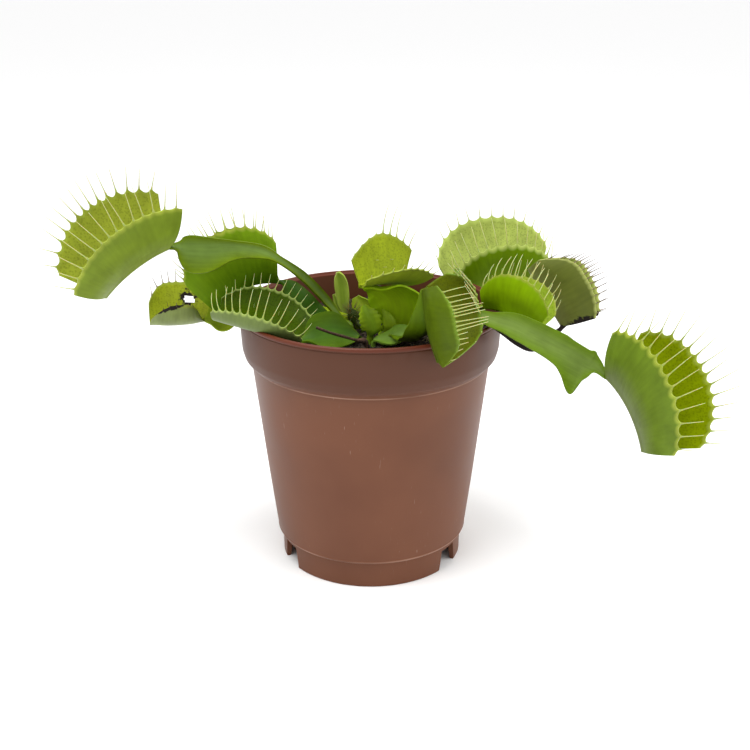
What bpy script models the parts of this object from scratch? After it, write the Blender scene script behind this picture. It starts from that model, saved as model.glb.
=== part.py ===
"""A potted Venus flytrap: ten trap leaves and a few young ones in a small terracotta-coloured plastic pot.

Metres, +Z up. The origin is the centre of the pot's base, on the pot's axis; the front faces -Y.
Every trap leaf is one closed skin: a winged stalk, a narrow neck, two hinged lobes and their spines.
"""
import math

import bmesh
import bpy
import numpy as np

MM = 0.001

# Driving dimensions, in millimetres and degrees

POT_RIM_R = 40.0        # outer radius of the rim's lip
POT_H = 80.5            # height of the lip
POT_LIP_H = 1.1         # depth of the thin bead round the lip
POT_LIP_OUT = 0.5       # how far the bead stands out of the band
POT_WALL = 1.3
POT_BAND_R = 38.9       # foot of the straight part of the rim band
POT_BAND_Z = 69.0
POT_SHOULDER_R = 36.2   # where the band's chamfer meets the body
POT_SHOULDER_Z = 64.3
POT_EDGE_R = 29.7       # edge of the body, above the foot ring
POT_EDGE_Z = 9.1
POT_FOOT_R = 28.2       # foot ring, cut by the drain notches
POT_FLOOR_Z = 7.3       # underside of the floor
POT_SIDES = 48
NOTCH_AT = (57.0, 177.0, 297.0)   # drain notches, from the front, counter-clockwise from above
NOTCH_TOP = 14.0        # degrees of the foot ring that a notch takes at its top
NOTCH_FOOT = 20.0       # and at its foot
NOTCH_H = 6.6

SOIL_Z = 71.0
SOIL_RIPPLE = 0.5
ROOT_Z = 69.2           # a leaf's foot, down in its hole in the soil
NECK_Z = 72.0           # where it stands clear of the soil
ROOT_HALF = 0.9         # half width of a leaf's foot
ELBOW_OUT = 0.2         # the bend above it, as parts of the way to the first station
ELBOW_UP = 0.5
HOLE_R = 1.45
GAP = 0.3               # clear space between neighbouring pieces

LEAF_THICK = 0.8
STALK_FOLD = 0.25       # height of the stalk's raised edges, of its half width
SPINE_SHARE = 0.34      # half width of a spine's foot, of the margin's pitch
SPINE_WAIST = 0.42      # size of a spine half way up, of its foot
LOBE_ROWS = (0, 0.12, 0.54, 1)      # rows of each lobe, hinge to margin

# Trap leaves. base: x, y of the foot. stalk: x, y, z, left and right half width, roll of each station.
# hinge: the two ends of the line where the lobes meet, at the stalk first. up: the way the trap faces.
# bow: degrees that the hinge bends through. depth: hinge to margin. ends: depth left at each hinge end.
# left, right: the lobe's lean from "up" at the hinge and at the margin. flare: sideways spread of the
# margin at each end. teeth: spines on each lobe. spine: length of the longest. rate: how blunt the ends are.
LEAVES = {
    "leaf_far_left": dict(
        base=(-5.4, 1.2), skin="leaf_fresh",
        stalk=[(-8.9, 0.9, 75.8, 1.4, 1.0, -35), (-13.5, 0.0, 82.3, 1.6, 1.4, -50),
               (-19.7, -5.4, 91.0, 1.6, 1.4, -50), (-25.8, -9.0, 96.8, 1.2, 1.1, -60),
               (-31.2, -9.3, 99.9, 2.4, 1.6, -72), (-39.0, -8.3, 101.0, 4.0, 1.6, -75),
               (-47.2, -8.0, 100.6, 7.2, 3.0, -75), (-51.8, -8.2, 100.8, 6.4, 3.0, -70),
               (-54.8, -7.6, 100.6, 1.6, 1.4, -34)],
        hinge=((-58.4, -6.6, 100.3), (-76.0, -15.6, 88.2)), up=(-0.35, -0.43, 0.83),
        bow=32, depth=22.1, ends=(0.58, 0.66), left=(50, 4), right=(53, 17),
        flare=(0.16, 0.16), teeth=14, spine=12.0),
    "leaf_left_back": dict(
        base=(-5.2, -2.6), skin="leaf_fresh",
        stalk=[(-8.6, -4.6, 74.8, 2.2, 1.3, -25), (-13.4, -3.9, 78.5, 3.4, 1.3, -30),
               (-19.1, -0.4, 83.2, 3.6, 1.6, -35), (-23.6, 2.0, 85.6, 2.8, 2.0, -30),
               (-26.3, 2.8, 86.8, 1.2, 1.2, 0)],
        hinge=((-27.9, 3.1, 87.1), (-47.0, -1.5, 79.2)), up=(-0.39, 0.05, 0.92),
        bow=60, depth=20.6, ends=(0.65, 0.66), left=(49, -13), right=(59, 4),
        flare=(-0.11, -0.11), teeth=13, spine=6.4),
    "leaf_front_left": dict(
        base=(-3.2, -6.2), skin="leaf_fresh",
        stalk=[(-7.3, -10.0, 74.7, 3.4, 3.2, -35), (-12.7, -14.5, 77.5, 4.4, 3.4, -35),
               (-16.5, -19.0, 79.5, 2.6, 2.2, -30)],
        hinge=((-21.0, -22.7, 79.9), (-41.6, -23.4, 84.1)), up=(0.2, -0.11, 0.97),
        bow=54, depth=9.9, ends=(0.66, 0.66), left=(74, 36), right=(61, 30),
        flare=(0.01, 0.01), teeth=13, spine=8),
    "leaf_dying_left": dict(
        base=(-3.9, 4.8), skin="leaf_dying",
        stalk=[(-13.9, 5.6, 77.1, 1.2, 1.2, -10), (-28.1, 5.4, 81.1, 1.5, 1.5, -20),
               (-38.6, 5.6, 83.0, 2.0, 1.6, -35), (-42.2, 6.2, 80.6, 2.2, 1.6, -48),
               (-44.2, 7.0, 77.2, 3.8, 1.8, -55), (-46.2, 8.2, 74.4, 4.6, 2.0, -52),
               (-47.8, 8.7, 73.6, 1.6, 1.0, -10)],
        hinge=((-50.7, 10.0, 72.8), (-66.4, 5.7, 72.7)), up=(0.02, -0.08, 1.0),
        bow=14, depth=13.4, ends=(0.42, 0.68), left=(74, 19), right=(74, 20),
        flare=(0.0, 0.0), teeth=8, spine=3.5),
    "leaf_centre": dict(
        base=(3.4, -2.8), skin="leaf_fresh", heading=(0, 1),
        stalk=[(6.2, -3.4, 76.2, 2.8, 3.4, 0), (6.8, -5.0, 81.2, 6.6, 7.4, 0),
               (4.4, -8.0, 85.6, 5.4, 6.4, 0), (-0.8, -11.9, 87.0, 1.4, 1.8, 0)],
        hinge=((-3.0, -11.7, 90.0), (9.9, -2.4, 87.8)), up=(0.38, -0.33, 0.86),
        bow=32, depth=13.8, ends=(0.56, 0.68), left=(50, 36), right=(54, 10),
        flare=(0.07, 0.07), teeth=9, spine=6),
    "leaf_front_right": dict(
        base=(3.8, -9.4), skin="leaf_deep",
        stalk=[(7.7, -12.2, 75.3, 3.0, 3.0, 0), (10.7, -20.0, 82.2, 3.2, 3.0, 10),
               (11.7, -29.0, 89.8, 3.6, 3.0, 10), (12.0, -36.0, 94.3, 1.6, 1.6, -15)],
        hinge=((12.6, -39.4, 92.9), (19.3, -43.0, 76.6)), up=(0.81, -0.42, 0.42),
        bow=-37, depth=16.5, ends=(0.84, 0.2), left=(53, 12), right=(55, 9),
        flare=(0.45, 0.08), rate=3.2, teeth=12, spine=8),
    "leaf_back_right": dict(
        base=(4.8, 4.0), skin="leaf_fresh",
        stalk=[(11.7, 14.0, 76.6, 1.8, 1.8, 0), (19.8, 24.0, 81.0, 1.9, 1.9, 0),
               (24.4, 30.4, 83.0, 1.4, 1.4, 0), (26.2, 34.2, 80.6, 1.2, 1.2, 0),
               (26.9, 37.4, 75.8, 1.0, 1.0, 0)],
        hinge=((28.8, 39.8, 73.3), (57.7, 43.1, 77.0)), up=(-0.15, 0.21, 0.97),
        bow=77, depth=18.6, ends=(0.57, 0.65), left=(58, 2), right=(71, 62),
        flare=(-0.14, -0.14), teeth=14, spine=7.5),
    "leaf_right_small": dict(
        base=(7.6, 1.4), skin="leaf_fresh",
        stalk=[(14.9, 0.0, 76.4, 1.5, 1.5, 0), (23.7, -3.2, 79.8, 1.6, 1.6, 0)],
        hinge=((33.6, -6.4, 81.1), (48.3, -14.4, 81.9)), up=(0.1, 0.28, 0.96),
        bow=23, depth=12.2, ends=(0.38, 0.24), left=(64, 5), right=(61, 12),
        flare=(0.04, 0.04), teeth=12, spine=5),
    "leaf_far_right": dict(
        base=(6.8, -6.0), skin="leaf_fresh",
        stalk=[(15.9, -11.5, 77.3, 1.7, 1.7, 15), (24.3, -17.0, 81.5, 1.8, 1.8, 30),
               (30.1, -22.5, 84.2, 1.7, 1.9, 45), (34.6, -25.2, 83.8, 2.2, 2.4, 55),
               (40.6, -24.8, 81.8, 3.6, 3.5, 60), (52.2, -23.2, 75.4, 4.2, 4.5, 62),
               (56.5, -22.9, 73.1, 3.8, 6.6, 64), (60.8, -22.6, 70.6, 3.5, 10.4, 64),
               (62.6, -22.6, 69.6, 3.0, 4.8, 62), (64.6, -22.4, 68.4, 1.6, 1.3, 42)],
        hinge=((68.0, -22.4, 65.3), (76.5, -37.8, 48.9)), up=(0.38, -0.57, 0.73),
        bow=47, depth=24.6, ends=(0.69, 0.68), left=(49, 10), right=(31, -9),
        flare=(0.05, 0.05), teeth=14, spine=6.8),
    "leaf_withered_right": dict(
        base=(8.0, -2.3), skin="leaf_withered",
        stalk=[(17.0, -8.8, 75.8, 0.8, 0.8, 0), (25.5, -15.6, 80.6, 0.8, 0.8, 0),
               (30.6, -19.6, 82.2, 0.9, 0.9, 0), (35.0, -22.2, 81.0, 1.0, 1.0, 20),
               (42.0, -21.0, 75.6, 1.0, 1.2, 40), (47.6, -15.0, 71.8, 0.9, 0.9, 60),
               (52.6, -5.5, 70.8, 0.7, 0.7, 85), (57.2, 0.2, 71.6, 0.7, 0.7, 115)],
        hinge=((59.1, 2.6, 73.5), (49.7, 11.2, 86.3)), up=(0.72, -0.2, 0.66),
        bow=33, depth=13.3, ends=(0.84, 0.64), left=(57, 5), right=(59, 19),
        flare=(0.08, 0.08), teeth=13, spine=6),
}

# Young leaves that have no trap yet, given as the stalks above
BLADES = {
    "young_leaf_spoon": dict(
        base=(-1.2, 6.9), skin="leaf_pale", heading=(0, 1),
        stalk=[(-6.4, 7.9, 74.4, 1.0, 1.0, 0), (-8.2, 8.2, 77.8, 1.6, 1.6, 0),
               (-8.5, 8.6, 81.4, 2.1, 2.1, 0), (-8.9, 8.8, 84.9, 1.8, 1.8, 0),
               (-9.8, 8.6, 88.1, 0.6, 0.6, 0)]),
    "young_leaf_sprig": dict(
        base=(-3.4, 9.4), skin="leaf_deep", heading=(0, 1),
        stalk=[(-7.4, 10.4, 74.0, 0.8, 0.8, 0), (-9.8, 11.0, 76.4, 1.1, 1.1, 0),
               (-11.4, 11.8, 80.3, 0.4, 0.4, 0)]),
    "young_leaf_pale": dict(
        base=(1.6, 0.8), skin="leaf_pale", heading=(0, 1),
        stalk=[(-0.4, 4.6, 75.4, 1.5, 1.5, 0), (-3.1, 5.6, 78.5, 2.2, 2.2, 0),
               (-4.7, 6.0, 80.7, 0.9, 0.9, 0)]),
    "young_leaf_front": dict(
        base=(-0.2, -7.2), skin="leaf_fresh", heading=(0, -1),
        stalk=[(0.2, -8.0, 75.6, 1.9, 1.9, 0), (-0.6, -8.2, 78.6, 2.3, 2.3, 0),
               (-1.9, -7.0, 81.5, 0.5, 0.5, 0)]),
}

# Young traps still shut, and one dead stem: x, y, z, half width, half thickness, roll of each section
SHOOTS = {
    "young_trap_dark": dict(
        base=(-2.2, 1.6), skin="leaf_dark", sides=8, heading=(0, 1),
        sections=[(-4.0, 2.6, 74.0, 0.9, 0.7, 0), (-4.9, 3.0, 75.3, 1.7, 1.0, 0),
                  (-5.5, 3.2, 76.8, 1.7, 1.0, 0), (-6.1, 3.4, 78.2, 0.7, 0.5, 0)]),
    "young_trap_bud": dict(
        base=(3.2, -6.2), skin="leaf_pale", sides=8,
        sections=[(4.6, -7.6, 74.4, 0.8, 0.7, 0), (5.6, -8.4, 76.8, 1.5, 1.1, 0),
                  (4.9, -8.4, 79.2, 1.3, 1.0, 0), (4.2, -8.0, 80.9, 0.4, 0.4, 0)]),
    "dead_stem": dict(
        base=(-1.4, -11.0), skin="dead", sides=6,
        sections=[(-4.3, -13.4, 74.0, 0.45, 0.45, 0), (-7.9, -16.6, 76.2, 0.45, 0.45, 0),
                  (-11.6, -19.9, 78.5, 0.4, 0.4, 0), (-15.3, -22.5, 80.9, 0.4, 0.4, 0)]),
}

COLOURS = {
    "pot_plastic": ("8a5846", 0.55),
    "soil": ("2a221b", 0.95),
    "leaf_fresh": ("86a53a", 0.5),
    "leaf_deep": ("4f7c3f", 0.5),
    "leaf_pale": ("a9c15a", 0.5),
    "leaf_dark": ("4c5a2c", 0.6),
    "leaf_dying": ("8f8440", 0.7),
    "leaf_withered": ("6c7a55", 0.7),
    "dead": ("4a3425", 0.85),
}


def linear(channel):
    """One sRGB channel, 0 to 1, as linear light"""
    return channel / 12.92 if channel <= 0.04045 else ((channel + 0.055) / 1.055) ** 2.4


def material(name):
    """The named material, made once"""
    if name in bpy.data.materials:
        return bpy.data.materials[name]
    colour, roughness = COLOURS[name]
    made = bpy.data.materials.new(name)
    made.use_nodes = True
    shader = made.node_tree.nodes["Principled BSDF"]
    rgb = [linear(int(colour[i:i + 2], 16) / 255) for i in (0, 2, 4)]
    shader.inputs["Base Color"].default_value = (*rgb, 1)
    shader.inputs["Roughness"].default_value = roughness
    return made


def mesh_object(name, points, faces, skin, sharp=40):
    """An object from points in millimetres"""
    mesh = bpy.data.meshes.new(name)
    mesh.from_pydata([tuple(float(c) * MM for c in p) for p in points], [], faces)
    mesh.materials.append(material(skin))
    mesh.shade_smooth()
    mesh.set_sharp_from_angle(angle=math.radians(sharp))
    made = bpy.data.objects.new(name, mesh)
    bpy.context.scene.collection.objects.link(made)
    return made


def unit(vector):
    return vector / np.linalg.norm(vector)


def turned(profile, sides):
    """Points and faces of a closed profile of (radius, z) turned about Z; its ends lie on the axis"""
    ring = [(math.sin(2 * math.pi * k / sides), -math.cos(2 * math.pi * k / sides)) for k in range(sides)]
    points = [(0, 0, profile[0][1])]
    for radius, z in profile[1:-1]:
        points += [(radius * x, radius * y, z) for x, y in ring]
    points.append((0, 0, profile[-1][1]))
    faces = []
    last_ring = 1 + (len(profile) - 3) * sides
    for k in range(sides):
        n = (k + 1) % sides
        faces.append((0, 1 + n, 1 + k))
        for start in range(1, last_ring, sides):
            faces.append((start + k, start + n, start + sides + n, start + sides + k))
        faces.append((last_ring + k, last_ring + n, len(points) - 1))
    return points, faces


def cut(target, cutter):
    """Take one closed solid out of another"""
    cutter.hide_render = True
    cutter.display_type = "WIRE"
    change = target.modifiers.new("cut by " + cutter.name, "BOOLEAN")
    change.operation = "DIFFERENCE"
    change.object = cutter


def pot_inside(z):
    """Radius of the pot's inner wall at a height"""
    heights = (POT_EDGE_Z, POT_SHOULDER_Z, POT_BAND_Z, POT_H)
    radii = (POT_EDGE_R, POT_SHOULDER_R, POT_BAND_R, POT_RIM_R - POT_LIP_OUT)
    return float(np.interp(z, heights, radii)) - POT_WALL


def pot():
    """The pot: floor, recessed foot ring with three drain notches, body, chamfer, rim band and lip"""
    floor_top = POT_FLOOR_Z + POT_WALL
    bead_z = POT_H - POT_LIP_H
    profile = [
        (0, POT_FLOOR_Z), (POT_FOOT_R - POT_WALL, POT_FLOOR_Z), (POT_FOOT_R - POT_WALL, 0),
        (POT_FOOT_R, 0), (POT_FOOT_R, POT_EDGE_Z - 0.8), (POT_EDGE_R, POT_EDGE_Z),
        (POT_SHOULDER_R, POT_SHOULDER_Z),
        (POT_BAND_R - 0.7, POT_BAND_Z - 2.6), (POT_BAND_R, POT_BAND_Z),
        (POT_RIM_R - POT_LIP_OUT, bead_z - 0.3), (POT_RIM_R, bead_z), (POT_RIM_R, POT_H - 0.3),
        (POT_RIM_R - 0.3, POT_H), (pot_inside(POT_H), POT_H),
        (pot_inside(POT_BAND_Z), POT_BAND_Z), (pot_inside(POT_SHOULDER_Z), POT_SHOULDER_Z),
        (pot_inside(POT_EDGE_Z), floor_top), (0, floor_top)]
    points, faces = turned(profile, POT_SIDES)
    body = mesh_object("pot", points, faces, "pot_plastic")
    for number, centre in enumerate(NOTCH_AT, 1):
        cut(body, notch(number, math.radians(centre)))
    return body


def notch(number, centre):
    """A wedge-shaped cutter for one drain notch, wider at its foot"""
    inner, outer, low = POT_FOOT_R - 6, POT_FOOT_R + 4, -2.0
    points = []
    for z, width in ((low, NOTCH_FOOT), (NOTCH_H, NOTCH_TOP)):
        half = math.radians(width) / 2
        for radius, angle in ((inner, -half), (outer, -half), (outer, half), (inner, half)):
            points.append((radius * math.sin(centre + angle), -radius * math.cos(centre + angle), z))
    faces = [(0, 3, 2, 1), (4, 5, 6, 7), (0, 1, 5, 4), (1, 2, 6, 5), (2, 3, 7, 6), (3, 0, 4, 7)]
    return mesh_object(f"cutter_notch_{number}", points, faces, "pot_plastic")


def soil_height(x, y):
    """The potting mix's gently rippled top"""
    wave = math.sin(x / 4.3 + 0.6) * math.cos(y / 5.1) + math.sin((x + 1.7 * y) / 7.7)
    return SOIL_Z + SOIL_RIPPLE * wave / 2


def soil(feet):
    """The potting mix: it fills the pot and has a plain round hole for each foot"""
    low = POT_FLOOR_Z + POT_WALL + GAP
    top = [0] + [f * (pot_inside(SOIL_Z) - GAP) for f in (0.32, 0.6, 0.84, 1)]
    wall = [(pot_inside(z) - GAP, z) for z in (POT_BAND_Z, POT_SHOULDER_Z, low)]
    profile = [(0, low)] + wall[::-1] + [(r, SOIL_Z) for r in top[::-1]]
    points, faces = turned(profile, POT_SIDES)
    points = [(x, y, soil_height(x, y) if z == SOIL_Z else z) for x, y, z in points]
    body = mesh_object("soil", points, faces, "soil")
    drill = bmesh.new()
    depth = SOIL_Z + 4 - (ROOT_Z - GAP)
    for x, y in feet:
        made = bmesh.ops.create_cone(drill, cap_ends=True, segments=8, radius1=HOLE_R * MM,
                                     radius2=HOLE_R * MM, depth=depth * MM)
        place = (x * MM, y * MM, (ROOT_Z - GAP + depth / 2) * MM)
        bmesh.ops.translate(drill, vec=place, verts=made["verts"])
    mesh = bpy.data.meshes.new("cutter_holes")
    drill.to_mesh(mesh)
    drill.free()
    cutter = bpy.data.objects.new("cutter_holes", mesh)
    bpy.context.scene.collection.objects.link(cutter)
    cut(body, cutter)
    return body


def smooth_path(points, steps, end_tangent):
    """A curve through the points (Catmull-Rom), with a set number of steps between them"""
    points = np.asarray(points, float)
    points = np.vstack([2 * points[0] - points[1], points, points[-1] + end_tangent])
    path = []
    for a, b, c, d in zip(points, points[1:], points[2:], points[3:]):
        for t in np.arange(steps) / steps:
            path.append(0.5 * (2 * b + (c - a) * t + (2 * a - 5 * b + 4 * c - d) * t ** 2
                               + (3 * b - a - 3 * c + d) * t ** 3))
    path.append(points[-2])
    return np.array(path)


def stations(leaf, rows, steps, end_tangent=None, end_side=None):
    """Centres, left-hand and upward vectors and half widths along a stalk, its foot first"""
    places = np.array([row[:3] for row in rows], float)
    if end_tangent is None:
        end_tangent = unit(places[-1] - places[-2])
    reach = np.linalg.norm(places[-1] - places[-2])
    path = smooth_path(places, steps, end_tangent * reach)
    ahead = np.gradient(path, axis=0)
    ahead /= np.linalg.norm(ahead, axis=1)[:, None]
    ahead[-1] = end_tangent
    heading = np.array(leaf.get("heading", (places[-1] - places[0])[:2]), float)
    level = unit(np.array([-heading[1], heading[0], 0.0]))
    rolls = [row[5] for row in rows]
    if end_side is not None:
        side = unit(level - end_tangent * (end_tangent @ level))
        above = np.cross(end_tangent, side)
        turn = math.degrees(math.atan2(end_side @ above, end_side @ side))
        rolls[-1] = rolls[-2] + (turn - rolls[-2] + 180) % 360 - 180
    t = np.linspace(0, len(rows) - 1, len(path))
    halves = np.stack([np.interp(t, range(len(rows)), [row[k] for row in rows]) for k in (3, 4)], 1)
    lefts = []
    for forward, roll in zip(ahead, np.radians(np.interp(t, range(len(rows)), rolls))):
        side = unit(level - forward * (forward @ level))
        lefts.append(side * math.cos(roll) + np.cross(forward, side) * math.sin(roll))
    lefts = np.array(lefts)
    return path, lefts, np.cross(ahead, lefts), halves


def rooted(leaf, rows):
    """The stations with the foot's own put first: straight up out of its hole, then an elbow"""
    x, y = leaf["base"]
    first = rows[0]
    elbow = (x + ELBOW_OUT * (first[0] - x), y + ELBOW_OUT * (first[1] - y),
             NECK_Z + ELBOW_UP * (first[2] - NECK_Z))
    foot = [(x, y, z, ROOT_HALF, ROOT_HALF, 0) for z in (ROOT_Z, NECK_Z)]
    return foot + [(*elbow, 1.1 * ROOT_HALF, 1.1 * ROOT_HALF, first[5] / 2)] + list(rows)


def strap(leaf, rows, **ends):
    """Mid-surface of a stalk: rows of three points, folded up a little along the middle"""
    path, left, above, halves = stations(leaf, rows, 2, **ends)
    points = []
    for centre, side, up, (to_left, to_right) in zip(path, left, above, halves):
        points.append(centre + side * to_left + up * STALK_FOLD * to_left)
        points.append(centre)
        points.append(centre - side * to_right + up * STALK_FOLD * to_right)
    return points


def strap_faces(rows):
    faces = []
    for start in range(0, 3 * (rows - 1), 3):
        for k in (start, start + 1):
            faces += [(k, k + 3, k + 4), (k, k + 4, k + 1)]
    return faces


def trap_axes(leaf):
    """Start and length of the hinge, and the trap's own axes: along it, to its left, up"""
    start, end = (np.array(p, float) for p in leaf["hinge"])
    along = unit(end - start)
    up = np.array(leaf["up"], float)
    up = unit(up - along * (along @ up))
    return start, np.linalg.norm(end - start), np.stack([along, np.cross(up, along), up], 1)


def lobe_point(leaf, side, s, v):
    """A point of one lobe: s from -1 to 1 along the hinge, v from 0 at the hinge to 1 at the margin"""
    start, chord, axes = trap_axes(leaf)
    half_bow = math.radians(leaf["bow"]) / 2
    bend = chord / (2 * math.sin(half_bow))
    turn = s * half_bow
    end = 0 if s < 0 else 1
    deep = leaf["depth"] * (1 - (1 - leaf["ends"][end]) * abs(s) ** leaf.get("rate", 2.5))
    first, last = np.radians(leaf["left"] if side > 0 else leaf["right"])
    lean = first + (last - first) * v
    out = (math.cos(first) - math.cos(lean)) / (last - first)
    rise = (math.sin(lean) - math.sin(first)) / (last - first)
    spread = leaf["flare"][end] * leaf["depth"] * s * abs(s) * v
    x = bend * (math.sin(turn) + math.sin(half_bow)) + spread * math.cos(turn) + deep * rise * math.sin(turn)
    z = bend * (math.cos(turn) - math.cos(half_bow)) - spread * math.sin(turn) + deep * rise * math.cos(turn)
    return start + axes @ np.array([x, side * deep * out, z])


def tooth_centre(number, teeth):
    return (number + 0.5) / teeth * 2 - 1


def leaf_sheet(leaf):
    """Mid-surface of a trap leaf, all triangles, and the margin edges that carry spines"""
    start, chord, axes = trap_axes(leaf)
    half_bow = math.radians(leaf["bow"]) / 2
    rows = rooted(leaf, leaf["stalk"]) + [(*leaf["hinge"][0], 0.9, 0.9, 0)]
    # the stalk turns into the hinge half before it and half after it
    tangent = axes @ np.array([math.cos(half_bow), 0, math.sin(half_bow)])
    tangent = unit(tangent + unit(start - np.array(leaf["stalk"][-1][:3])))
    points = strap(leaf, rows, end_tangent=tangent, end_side=axes[:, 1])[:-3]
    faces = strap_faces(len(points) // 3)

    teeth = leaf["teeth"]
    last = len(LOBE_ROWS) - 1
    columns = [-1.0]
    for number in range(teeth):
        columns += [tooth_centre(number, teeth) + k * SPINE_SHARE / teeth for k in (-1, 1)]
    columns.append(1.0)
    at = {}
    for j, s in enumerate(columns):
        for row in range(-last, last + 1):
            side = 1 if row > 0 else -1
            v = LOBE_ROWS[abs(row)]
            # the spines of one lobe face the gaps of the other
            shifted = s + side * 0.25 / teeth * v * (1 - s ** 4)
            at[j, row] = len(points)
            points.append(lobe_point(leaf, side, shifted, v))
    for j in range(len(columns) - 1):
        for row in range(last, -last, -1):
            a, b, c, d = at[j, row], at[j + 1, row], at[j + 1, row - 1], at[j, row - 1]
            faces += [(a, b, c), (a, c, d)] if row > 0 else [(a, b, d), (b, c, d)]
    neck = len(points) - len(at) - 3
    for k, (a, b) in enumerate(((at[0, 1], at[0, 0]), (at[0, 0], at[0, -1]))):
        faces += [(neck + k, a, b), (neck + k, b, neck + k + 1)]
    spines = {}
    for number in range(teeth):
        for side in (1, -1):
            edge = (at[2 * number + 1, side * last], at[2 * number + 2, side * last])
            spines[frozenset(edge)] = (side, tooth_centre(number, teeth))
    return np.array(points), faces, spines


def thickened(points, faces, edge_piece=None):
    """A closed skin about a mid-surface: both faces, and what edge_piece grows along its edge"""
    normals = np.zeros_like(points)
    for a, b, c in faces:
        normals[[a, b, c]] += np.cross(points[b] - points[a], points[c] - points[a])
    normals /= np.linalg.norm(normals, axis=1)[:, None]
    count = len(points)
    skin = list(points + normals * LEAF_THICK / 2) + list(points - normals * LEAF_THICK / 2)
    closed = list(faces) + [(a + count, c + count, b + count) for a, b, c in faces]
    sides = {pair for a, b, c in faces for pair in ((a, b), (b, c), (c, a))}
    for a, b in sorted(pair for pair in sides if pair[::-1] not in sides):
        quad = (b, a, a + count, b + count)
        if not edge_piece or not edge_piece(skin, closed, quad, normals[a] + normals[b]):
            closed += [quad[:3], (quad[0], quad[2], quad[3])]
    return skin, closed


def grow_spine(skin, faces, quad, inward, root, way, length):
    """A four-sided spine on one quad of the margin, curving towards the trap's inside"""
    inward = unit(inward)
    middle = root + way * length * 0.5 + inward * length * 0.04
    ring = []
    for corner in quad:
        ring.append(len(skin))
        skin.append(middle + (skin[corner] - root) * SPINE_WAIST)
    tip = len(skin)
    skin.append(root + way * length + inward * length * 0.18)
    for k in range(4):
        n = (k + 1) % 4
        faces += [(quad[k], quad[n], ring[n]), (quad[k], ring[n], ring[k]), (ring[k], ring[n], tip)]


def trap_leaf(name, leaf):
    """A stalk, its trap and the spines along both margins, as one skin"""
    points, faces, spines = leaf_sheet(leaf)

    def spine(skin, closed, quad, inward):
        found = spines.get(frozenset((quad[0], quad[1])))
        if not found:
            return False
        side, s = found
        root = sum(skin[k] for k in quad) / 4
        way = unit(lobe_point(leaf, side, s, 1.0) - lobe_point(leaf, side, s, 0.93))
        grow_spine(skin, closed, quad, inward, root, way, leaf["spine"] * (1 - 0.35 * s * s))
        return True

    skin, closed = thickened(points, faces, spine)
    return mesh_object(name, skin, closed, leaf["skin"])


def blade(name, leaf):
    """A young leaf: a stalk that narrows to a tip"""
    points = np.array(strap(leaf, rooted(leaf, leaf["stalk"])))
    skin, closed = thickened(points, strap_faces(len(points) // 3))
    return mesh_object(name, skin, closed, leaf["skin"])


def shoot(name, leaf):
    """A shut young trap or a stem: oval sections along a curve"""
    path, left, above, halves = stations(leaf, rooted(leaf, leaf["sections"]), 2)
    sides = leaf["sides"]
    halves[:5] = np.minimum(halves[:5], 0.8)
    points = [path[0]]
    for centre, side, up, (wide, thick) in zip(path, left, above, halves):
        for k in range(sides):
            angle = 2 * math.pi * k / sides
            points.append(centre + side * wide * math.cos(angle) + up * thick * math.sin(angle))
    points.append(path[-1] + unit(path[-1] - path[-2]) * halves[-1, 1] * 0.5)
    faces = []
    last = 1 + (len(path) - 1) * sides
    for k in range(sides):
        n = (k + 1) % sides
        faces.append((0, 1 + n, 1 + k))
        for start in range(1, last, sides):
            faces += [(start + k, start + n, start + sides + n),
                      (start + k, start + sides + n, start + sides + k)]
        faces.append((last + k, last + n, len(points) - 1))
    return mesh_object(name, points, faces, leaf["skin"], sharp=70)


def main():
    for old in list(bpy.data.objects):
        bpy.data.objects.remove(old, do_unlink=True)
    pot()
    soil([leaf["base"] for group in (LEAVES, BLADES, SHOOTS) for leaf in group.values()])
    for name, leaf in LEAVES.items():
        trap_leaf(name, leaf)
    for name, leaf in BLADES.items():
        blade(name, leaf)
    for name, leaf in SHOOTS.items():
        shoot(name, leaf)


main()
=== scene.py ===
# %% [markdown]
# # A potted Venus flytrap
# The plant grows as a rosette: each leaf has a flat winged stalk and ends in a trap of two hinged
# lobes, whose margins carry stiff hairs called cilia. It stands in a thin moulded plastic pot of
# peat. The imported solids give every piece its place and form. This lesson rebuilds each piece in
# fine mesh over its solid, and gives it the finish of the real thing.

# %% The frame and the tools
import math

import bmesh
import bpy
import numpy as np
from mathutils import Matrix, Vector


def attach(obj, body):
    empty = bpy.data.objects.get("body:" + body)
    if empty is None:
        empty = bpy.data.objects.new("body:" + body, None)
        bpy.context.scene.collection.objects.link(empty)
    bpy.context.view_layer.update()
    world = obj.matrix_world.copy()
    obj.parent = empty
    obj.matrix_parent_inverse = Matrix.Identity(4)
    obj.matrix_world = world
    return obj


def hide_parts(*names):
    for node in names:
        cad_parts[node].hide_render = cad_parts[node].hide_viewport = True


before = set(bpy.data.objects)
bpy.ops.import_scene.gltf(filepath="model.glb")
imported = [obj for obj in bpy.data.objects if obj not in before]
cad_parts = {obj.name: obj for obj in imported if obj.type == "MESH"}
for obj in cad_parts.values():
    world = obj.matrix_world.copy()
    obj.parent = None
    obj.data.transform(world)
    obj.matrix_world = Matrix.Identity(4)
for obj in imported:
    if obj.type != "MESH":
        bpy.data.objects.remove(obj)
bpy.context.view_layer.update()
MM = 0.001
SEED = 11
rng = np.random.default_rng(SEED)
scene = bpy.context.scene
print("nodes in the frame:", len(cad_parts))

# %% [markdown]
# ## Colours, nodes and pieces
# Colours are written as on a colour card, in sRGB hex, and Blender's shaders want linear light, so
# one function turns them. Another adds a node with its settings and its links in one line, for
# shaders and for Geometry Nodes alike, and returns the output that the next node needs. Shapes are
# worked out in millimetres and turned to metres only where their mesh is made.

# %% Helpers
FAMILIES = ("ShaderNode", "GeometryNode", "FunctionNode", "Node")      # how Blender's node names begin


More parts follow.
